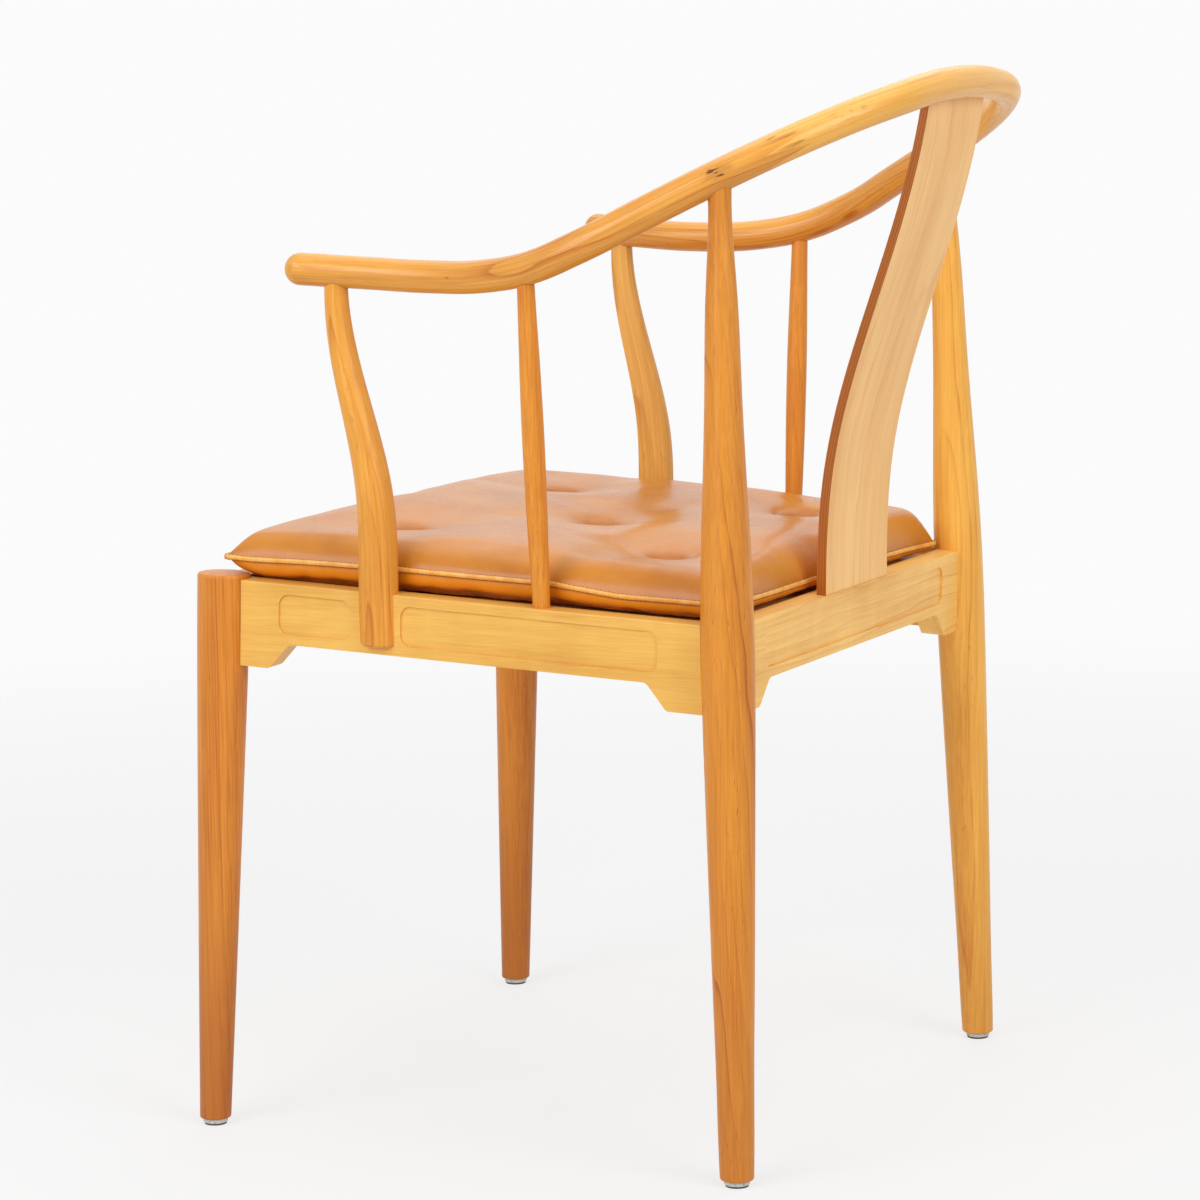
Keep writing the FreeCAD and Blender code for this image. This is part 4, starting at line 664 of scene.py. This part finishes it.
# Depth and reach of the hollow round a tuft, and of the dimple in its middle.
TUFT_HOLLOW, HOLLOW_REACH = 0.0106, 0.0225
TUFT_PINCH, PINCH_REACH = 0.0075, 0.013
# Under the seam: distance inwards, share of the drop to the board.
UNDER_ROWS = np.array((
    (0.0000, 0.00), (0.0004, 0.16), (0.0010, 0.30), (0.0022, 0.43), (0.0050, 0.54), (0.0110, 0.64),
    (0.0170, 0.76), (0.0260, 0.90), (0.0360, 1.00),
))
COLUMNS, ROWS = 116, 102
# How sharply a rim's own form gives way inwards.
EDGE_POWER = 12
# How far a corner's point reaches, and over which distance its faces rise and fall there.
CORNER_POINT = 0.016
CORNER_RISE, CORNER_RISE_SHARE = 0.026, 0.6
CORNER_FALL = 0.030
# How far the ends are drawn in at their middle.
DRAW_IN = 0.002
# How much closer together the grid's lines stand near its rim.
CLOSER = 0.09
TINY = 1e-6


def curve_value(share, column):
    return np.interp(share, SIDE_ROWS[:, 0], SIDE_ROWS[:, column])


def spread(count):
    """Stations from -1 to 1, closer together near the ends."""
    u = np.linspace(-1, 1, count + 1)
    return u + CLOSER * np.sin(np.pi * u)


def rise(distance, width, sharp, power):
    """From 0 at the seam to 1 where the shoulder ends."""
    q = np.clip(distance / width, 0, 1)
    return (1 - (1 - q) ** sharp) ** power


def cushion_grid():
    """Places of the grid, its own two coordinates, the seam's height, and the forms above and below it."""
    s, t = np.meshgrid(spread(COLUMNS), spread(ROWS))
    share = (t + 1) / 2
    half = curve_value(share, HALF_WIDTH)
    draw_in = DRAW_IN * (1 - s ** 2) * t
    x = s * half
    y = FRONT + (REAR - FRONT) * share - draw_in
    side_seam = curve_value(share, SEAM_HEIGHT) - RIGHT_REAR_SAG * (s < 0) * share ** 4
    end_middle = np.where(t < 0, FRONT_SEAM_MIDDLE, REAR_SEAM_MIDDLE)
    rear_corner = SIDE_ROWS[-1, SEAM_HEIGHT] - RIGHT_REAR_SAG * (s < 0)
    end_corner = np.where(t < 0, SIDE_ROWS[0, SEAM_HEIGHT], rear_corner)
    end_seam = end_middle + (end_corner - end_middle) * np.abs(s) ** 3
    side_weight = np.abs(s) ** EDGE_POWER + TINY
    end_weight = np.abs(t) ** EDGE_POWER + TINY
    seam = (side_seam * side_weight + end_seam * end_weight) / (side_weight + end_weight)
    from_side = (1 - np.abs(s)) * half
    from_end = (1 - np.abs(t)) * (REAR - FRONT) / 2
    inward = (np.maximum(from_side, TINY) ** -4 + np.maximum(from_end, TINY) ** -4) ** -0.25
    pointed = np.exp(-(np.hypot(from_side, from_end) / CORNER_POINT) ** 2)
    full = rise(inward, SHOULDER, *SHOULDER_CURVE)
    full += (np.clip(inward / CORNER_RISE, 0, 1) - full) * CORNER_RISE_SHARE * pointed
    under = np.interp(inward, UNDER_ROWS[:, 0], UNDER_ROWS[:, 1])
    under += (np.clip(inward / CORNER_FALL, 0, 1) - under) * pointed * (t < 0)
    return x, y, s, t, seam, full, under


def crown_height(x, y):
    """Height of the full cushion over the rails: lower towards its edges, sat in at its middle.

    Its numbers were fitted until the cushion's outline and dimples stood as in the photograph.
    """
    across, along = x / 0.22, (y - SEAT_CENTRE) / 0.20
    height = (CROWN - 0.0002 * across - 0.0011 * along - 0.0019 * across * along
              - 0.0054 * across ** 2 - 0.0035 * along ** 2)
    dished = np.exp(-(x / DISH_SIZE[0]) ** 2 - ((y - SEAT_CENTRE) / DISH_SIZE[1]) ** 2)
    return height - DISH * dished


def tuft_depth(x, y):
    """Hollow round each tuft, with a steep dimple at its stitch."""
    depth = np.zeros_like(x)
    for tx, ty in TUFTS:
        r = np.hypot(x - tx, y - ty)
        hollow = TUFT_HOLLOW * np.exp(-(r / HOLLOW_REACH) ** 1.7)
        dimple = TUFT_PINCH * np.exp(-(r / PINCH_REACH) ** 3)
        depth = np.maximum(depth, hollow + dimple)
    return depth


grid_x, grid_y, grid_s, grid_t, seam, full, under = cushion_grid()
plane = RAIL_TOP - SEAT_FALL * grid_y
crown = crown_height(grid_x, grid_y)
sewn_down = tuft_depth(grid_x, grid_y) * np.clip(full * 1.2 - 0.2, 0, 1)
top_z = plane + seam + (crown - seam) * full - sewn_down
bottom_z = plane + seam - (seam + BOARD_DROP) * under
bulge = BULGE * np.sin(np.pi * np.clip(under * 1.25, 0, 1))
bottom_x = grid_x + bulge * np.sign(grid_s) * np.abs(grid_s) ** EDGE_POWER
bottom_y = grid_y + bulge * np.sign(grid_t) * np.abs(grid_t) ** EDGE_POWER
rim = np.zeros(grid_x.shape, bool)
rim[0, :] = rim[-1, :] = rim[:, 0] = rim[:, -1] = True
top_id = np.arange(grid_x.size).reshape(grid_x.shape)
bottom_id = top_id.copy()
bottom_id[~rim] = grid_x.size + np.arange((~rim).sum())
body_points = np.vstack([
    np.stack([grid_x, grid_y, top_z], -1).reshape(-1, 3),
    np.stack([bottom_x, bottom_y, bottom_z], -1)[~rim],
])
quads = []
for j in range(ROWS):
    for i in range(COLUMNS):
        quads.append([int(top_id[b]) for b in ((j, i), (j, i + 1), (j + 1, i + 1), (j + 1, i))])
        quads.append([int(bottom_id[b]) for b in ((j, i), (j + 1, i), (j + 1, i + 1), (j, i + 1))])
mesh = bpy.data.meshes.new("leather_cushion")
mesh.from_pydata(body_points.tolist(), [], quads)
cushion = bpy.data.objects.new("leather_cushion", mesh)
bpy.context.scene.collection.objects.link(cushion)

# Held while it fills: the seam, the part that lies on the board, and the tufts' stitches.
STITCH_REACH = 0.0042
RESTING_SHARE = 0.985
stitched = np.zeros(grid_x.shape, bool)
for tx, ty in TUFTS:
    stitched |= np.hypot(grid_x - tx, grid_y - ty) < STITCH_REACH
resting = under > RESTING_SHARE
hold_top = (rim | stitched).reshape(-1)
hold_bottom = resting[~rim]
held = np.concatenate([hold_top, hold_bottom])
# The filling moves no point further than this.
FILL_LIMIT = 0.0050
FILL_FRAMES = 20
EASING_PASSES = 14


def fill_cushion(piece, held):
    """Leather drawn over its filling: cloth under pressure, held at its stitches."""
    group = piece.vertex_groups.new(name="held")
    group.add([int(i) for i in np.flatnonzero(held)], 1.0, "REPLACE")
    cloth = piece.modifiers.new("fill", "CLOTH")
    cloth.settings.quality = 7
    cloth.settings.mass = 0.35
    cloth.settings.tension_stiffness = 28
    cloth.settings.compression_stiffness = 28
    cloth.settings.shear_stiffness = 12
    cloth.settings.bending_stiffness = 6.0
    cloth.settings.shrink_min = -0.004
    cloth.settings.use_pressure = True
    cloth.settings.uniform_pressure_force = 1.6
    cloth.settings.vertex_group_mass = "held"
    cloth.settings.pin_stiffness = 5.0
    cloth.settings.effector_weights.gravity = 0.0
    cloth.collision_settings.use_collision = False
    cloth.point_cache.frame_start = 1
    cloth.point_cache.frame_end = FILL_FRAMES
    scene = bpy.context.scene
    for number in range(1, FILL_FRAMES + 1):
        scene.frame_set(number)
    shaped = piece.evaluated_get(bpy.context.evaluated_depsgraph_get())
    moved = points_of(shaped.data)
    piece.modifiers.remove(cloth)
    piece.vertex_groups.clear()
    scene.frame_set(1)
    return moved


def eased(step):
    """The filling's movement without its finest wrinkles."""
    top = step[:grid_x.size].reshape(grid_x.shape + (3,))
    bottom = step[grid_x.size:]
    loose = ~hold_top.reshape(grid_x.shape)[..., None]
    for _ in range(EASING_PASSES):
        padded = np.pad(top, ((1, 1), (1, 1), (0, 0)), "edge")
        around = padded[:-2, 1:-1] + padded[2:, 1:-1] + padded[1:-1, :-2] + padded[1:-1, 2:]
        top = np.where(loose, 0.5 * top + 0.125 * around, top)
    return np.vstack([top.reshape(-1, 3), bottom])


moved = fill_cushion(cushion, held)
step = moved - body_points
length = np.linalg.norm(step, axis=1)
step *= (np.minimum(length, FILL_LIMIT) / np.maximum(length, 1e-9))[:, None]
step[held] = 0
body_points = body_points + eased(step)

# Nothing sinks into the board, and no side passes the seam's line by more than the bulge.
board_z = RAIL_TOP - SEAT_FALL * body_points[:, 1] - BOARD_DROP
body_points[:, 2] = np.maximum(body_points[:, 2], board_z)
share = (body_points[:, 1] - FRONT) / (REAR - FRONT)
reach = curve_value(np.clip(share, 0, 1), HALF_WIDTH) + BULGE
body_points[:, 0] = np.clip(body_points[:, 0], -reach, reach)
mesh.vertices.foreach_set("co", body_points.ravel())
mesh.shade_smooth()
smoother = cushion.modifiers.new("smoother", "SUBSURF")
smoother.levels = smoother.render_levels = 1
finer = shaped_mesh(cushion)
cushion.modifiers.clear()
cushion.data = finer
finer.name = "leather_cushion"


def seam_loop(outset=0.0, lift=0.0):
    """The cushion's rim as a closed line, moved outwards and up."""
    ring = [(0, i) for i in range(COLUMNS)] + [(j, COLUMNS) for j in range(ROWS)]
    ring += [(ROWS, i) for i in range(COLUMNS, 0, -1)] + [(j, 0) for j in range(ROWS, 0, -1)]
    line = np.array([body_points[top_id[k]] for k in ring])
    ahead = np.roll(line, -1, 0) - np.roll(line, 1, 0)
    out = np.stack([ahead[:, 1], -ahead[:, 0], np.zeros(len(line))], 1)
    out /= np.linalg.norm(out, axis=1)[:, None]
    out = (np.roll(out, 1, 0) + out + np.roll(out, -1, 0)) / 3
    line = 0.25 * np.roll(line, 1, 0) + 0.5 * line + 0.25 * np.roll(line, -1, 0)
    return line + out * outset + (0, 0, lift)


# Every second point of the rim serves as a mark to measure from.
rim_marks = seam_loop()[::2]
final = points_of(finer)
gap, seam_height = np.zeros(len(final)), np.zeros(len(final))
for start in range(0, len(final), BLOCK):
    rows = slice(start, start + BLOCK)
    nearest = ((final[rows, None, :2] - rim_marks[None, :, :2]) ** 2).sum(2).argmin(1)
    seam_height[rows] = rim_marks[nearest, 2]
    gap[rows] = np.sqrt(((final[rows] - rim_marks[nearest]) ** 2).sum(1))
# Rubbed at the seam; painted shade in the dimples and along the seam's upper side; painted light below, under
# the seam.
RUBBED_REACH = 0.004
DIMPLE_REACH = 0.0205
SEAM_REACH = 0.010
BELOW_REACH = 0.004
store(finer, "rubbed", np.clip(0.25 * np.exp(-gap / RUBBED_REACH) + 0.03, 0, 1))
dimple = np.zeros(len(final))
for tx, ty in TUFTS:
    away = np.hypot(final[:, 0] - tx, final[:, 1] - ty)
    dimple = np.maximum(dimple, np.exp(-(away / DIMPLE_REACH) ** 3))
seam_shoulder_shade = 0.45 * np.exp(-(gap / SEAM_REACH) ** 2) * (final[:, 2] > seam_height)
store(finer, "painted_shade", np.maximum(0.9 * dimple, seam_shoulder_shade))
store(finer, "below", np.clip((seam_height - final[:, 2]) / BELOW_REACH, 0, 1))
set_material(cushion, cushion_hide)
finish_piece(cushion, "cushion", "cushion_leather", "seat_cushion")

# Seam: welt and stitches, made by geometry nodes.

# What the welt's and the stitches' trees share.
CARRIER = ("Geometry", "Geometry", None)
MADE = (("Geometry", "Geometry"),)
# Where the welt and the stitches grow thin, by how much, and how far round.
CORNERS = np.array([(-0.245, FRONT), (0.245, FRONT), (-0.204, REAR), (0.204, REAR)])
CORNER_THINNING, CORNER_REACH = 0.55, 0.007


def closed_curve(name, points):
    """A closed curve through the points, thinner at the cushion's corners."""
    data = bpy.data.curves.new(name, "CURVE")
    data.dimensions = "3D"
    spline = data.splines.new("POLY")
    spline.points.add(len(points) - 1)
    spline.points.foreach_set("co", np.hstack([points, np.ones((len(points), 1))]).ravel())
    apart = np.linalg.norm(points[:, None, :2] - CORNERS[None], axis=2).min(1)
    spline.points.foreach_set("radius", 1 - CORNER_THINNING * np.exp(-(apart / CORNER_REACH) ** 2))
    spline.use_cyclic_u = True
    curve = bpy.data.objects.new(name, data)
    bpy.context.scene.collection.objects.link(curve)
    return curve


def grow(tree, carrier, name, values):
    """Runs a geometry tree on a carrier and keeps its result as a plain mesh."""
    modifier = carrier.modifiers.new("grow", "NODES")
    modifier.node_group = tree
    for item in tree.interface.items_tree:
        if item.in_out == "INPUT" and item.name in values:
            modifier[item.identifier] = values[item.name]
    result = shaped_mesh(carrier)
    result.name = name
    piece = bpy.data.objects.new(name, result)
    bpy.context.scene.collection.objects.link(piece)
    bpy.data.objects.remove(carrier)
    return piece


# Welt: a strip of leather folded round a cord, swept along the seam.
welt_tree, w_in, w_out = node_group(
    "welt_along_seam",
    (CARRIER, ("Half Height", "Float", 0.0020), ("Half Width", "Float", 0.0013),
     ("Leather", "Material", None)),
    MADE, "GeometryNodeTree")
ring = put(welt_tree, "GeometryNodeCurvePrimitiveCircle", {"Resolution": 14, "Radius": 1.0}).outputs["Curve"]
shape = joined(welt_tree, w_in["Half Width"], w_in["Half Height"], 1.0)
profile = put(welt_tree, "GeometryNodeTransform", {"Geometry": ring, "Scale": shape}).outputs[0]
upright = put(welt_tree, "GeometryNodeSetCurveNormal", {"Curve": w_in["Geometry"]}, mode="Z_UP").outputs[0]
swept = put(welt_tree, "GeometryNodeCurveToMesh", {"Curve": upright, "Profile Curve": profile})
smooth = put(welt_tree, "GeometryNodeSetShadeSmooth", {"Geometry": swept.outputs[0]})
whole = put(welt_tree, "GeometryNodeRealizeInstances", {"Geometry": smooth.outputs[0]}).outputs[0]
painted = put(welt_tree, "GeometryNodeSetMaterial", {"Geometry": whole, "Material": w_in["Leather"]})
welt_tree.links.new(painted.outputs[0], w_out["Geometry"])
route = closed_curve("seam_line", seam_loop(outset=0.0004))
welt = grow(welt_tree, route, "cushion_welt", {"Leather": painted_light_welt_hide})
store(welt.data, "rubbed", np.full(len(welt.data.vertices), 0.5))
finish_piece(welt, "cushion", "cushion_leather")

# Stitches: one row above and one below the welt.
stitch_tree, s_in, s_out = node_group(
    "stitches_along_seam",
    (CARRIER, ("Pitch", "Float", 0.0036), ("Stitch Length", "Float", 0.0031),
     ("Thread Radius", "Float", 0.00030), ("Thread", "Material", None)),
    MADE, "GeometryNodeTree")
spots = put(stitch_tree, "GeometryNodeCurveToPoints", {"Curve": s_in["Geometry"], "Length": s_in["Pitch"]},
            mode="LENGTH").outputs
bead = put(stitch_tree, "GeometryNodeMeshUVSphere", {"Segments": 6, "Rings": 5, "Radius": 1.0})
half_length = calc(stitch_tree, "MULTIPLY", s_in["Stitch Length"], 0.5)
size = joined(stitch_tree, s_in["Thread Radius"], s_in["Thread Radius"], half_length)
sewn = put(stitch_tree, "GeometryNodeInstanceOnPoints", {
    "Points": spots["Points"], "Instance": bead.outputs["Mesh"], "Rotation": spots["Rotation"],
    "Scale": size})
whole = put(stitch_tree, "GeometryNodeRealizeInstances", {"Geometry": sewn.outputs[0]})
smooth = put(stitch_tree, "GeometryNodeSetShadeSmooth", {"Geometry": whole.outputs[0]}).outputs[0]
painted = put(stitch_tree, "GeometryNodeSetMaterial", {"Geometry": smooth, "Material": s_in["Thread"]})
stitch_tree.links.new(painted.outputs[0], s_out["Geometry"])
for name, lift in (("upper_stitches", 0.0019), ("lower_stitches", -0.0021)):
    route = closed_curve(name + "_line", seam_loop(outset=0.0006, lift=lift))
    row = grow(stitch_tree, route, name, {"Thread": thread_brown})
    finish_piece(row, "cushion", "cushion_leather")

# Studio.

scene = bpy.context.scene
scene.view_settings.view_transform = "Standard"

PAPER = (0.965, 0.965, 0.965, 1)
world = bpy.data.worlds.new("studio")
scene.world = world
world.use_nodes = True
tree = world.node_tree
tree.nodes.clear()
path = put(tree, "ShaderNodeLightPath").outputs
seen = calc(tree, "MAXIMUM", path["Is Camera Ray"], path["Is Glossy Ray"])
seen = calc(tree, "MAXIMUM", seen, path["Is Transmission Ray"])
backdrop = put(tree, "ShaderNodeBackground", {"Color": PAPER, "Strength": 1.0})
ambient = put(tree, "ShaderNodeBackground", {"Color": (1.0, 0.99, 0.975, 1), "Strength": 0.36})
both = put(tree, "ShaderNodeMixShader", {0: seen, 1: ambient.outputs[0], 2: backdrop.outputs[0]})
put(tree, "ShaderNodeOutputWorld", {"Surface": both.outputs[0]})

# Floor: pale paper that fades into the backdrop, so no horizon shows.
floor_shape = bmesh.new()
bmesh.ops.create_circle(floor_shape, cap_ends=True, segments=96, radius=4.0)
floor_mesh = bpy.data.meshes.new("paper_floor")
floor_shape.to_mesh(floor_mesh)
floor_shape.free()
floor = bpy.data.objects.new("paper_floor", floor_mesh)
scene.collection.objects.link(floor)
paper = bpy.data.materials.new("paper")
paper.use_nodes = True
tree = paper.node_tree
tree.nodes.clear()
FADE_START, FADE_END = 0.75, 2.6
fade = ramp(tree, length_of(tree, object_place(tree)), FADE_START, FADE_END)
matt = put(tree, "ShaderNodeBsdfDiffuse", {"Color": (0.90, 0.905, 0.915, 1)})
glow = put(tree, "ShaderNodeEmission", {"Color": (0.935, 0.935, 0.935, 1), "Strength": 1.0})
seen = put(tree, "ShaderNodeLightPath").outputs["Is Camera Ray"]
# How much of the paper's brightness before the camera is its own.
OWN_GLOW = 0.76
seen = calc(tree, "MULTIPLY", seen, OWN_GLOW)
even = put(tree, "ShaderNodeMixShader", {0: seen, 1: matt.outputs[0], 2: glow.outputs[0]})
clear = put(tree, "ShaderNodeBsdfTransparent")
sheet = put(tree, "ShaderNodeMixShader", {0: fade, 1: even.outputs[0], 2: clear.outputs[0]})
put(tree, "ShaderNodeOutputMaterial", {"Surface": sheet.outputs[0]})
floor_mesh.materials.append(paper)


def lamp(name, position, target, width, height, power):
    data = bpy.data.lights.new(name, "AREA")
    data.shape = "RECTANGLE"
    data.size, data.size_y = width, height
    data.energy = power
    light = bpy.data.objects.new(name, data)
    light.location = position
    light.rotation_mode = "QUATERNION"
    light.rotation_quaternion = (Vector(target) - Vector(position)).to_track_quat("-Z", "Y")
    scene.collection.objects.link(light)


MIDDLE = (0, 0, 0.45)
lamp("window_left", (3.0, -0.9, 1.9), MIDDLE, width=2.2, height=2.0, power=60)
lamp("window_right", (1.2, 3.0, 2.2), MIDDLE, width=2.0, height=2.0, power=54)
lamp("overhead", (-0.2, 0.1, 3.0), MIDDLE, width=2.6, height=2.6, power=24)
lamp("far_side", (-2.0, -1.0, 2.8), MIDDLE, width=2.4, height=2.4, power=14)

# Camera at the photograph's place.

YAW, PITCH, ROLL = math.radians(-152.875), math.radians(-8.614), math.radians(-0.861)
CAMERA_PLACE = (2.9759, 1.4733, 0.9016)
# In pixels: the picture's side, the lens's focal length and the place of its axis.
PICTURE = 1200
FOCAL = 4190.3
AXIS = (596.84, 599.62)
look = Vector((math.cos(YAW) * math.cos(PITCH), math.sin(YAW) * math.cos(PITCH), math.sin(PITCH)))
level = look.cross(Vector((0, 0, 1))).normalized()
upward = level.cross(look)
right = math.cos(ROLL) * level + math.sin(ROLL) * upward
top = math.cos(ROLL) * upward - math.sin(ROLL) * level
lens = bpy.data.cameras.new("camera")
lens.sensor_width = 36.0
lens.lens = FOCAL / PICTURE * lens.sensor_width
lens.shift_x = (PICTURE / 2 - AXIS[0]) / PICTURE
lens.shift_y = (AXIS[1] - PICTURE / 2) / PICTURE
camera = bpy.data.objects.new("camera", lens)
turn = Matrix((right, top, -look)).transposed().to_4x4()
camera.matrix_world = Matrix.Translation(CAMERA_PLACE) @ turn
scene.collection.objects.link(camera)
scene.camera = camera
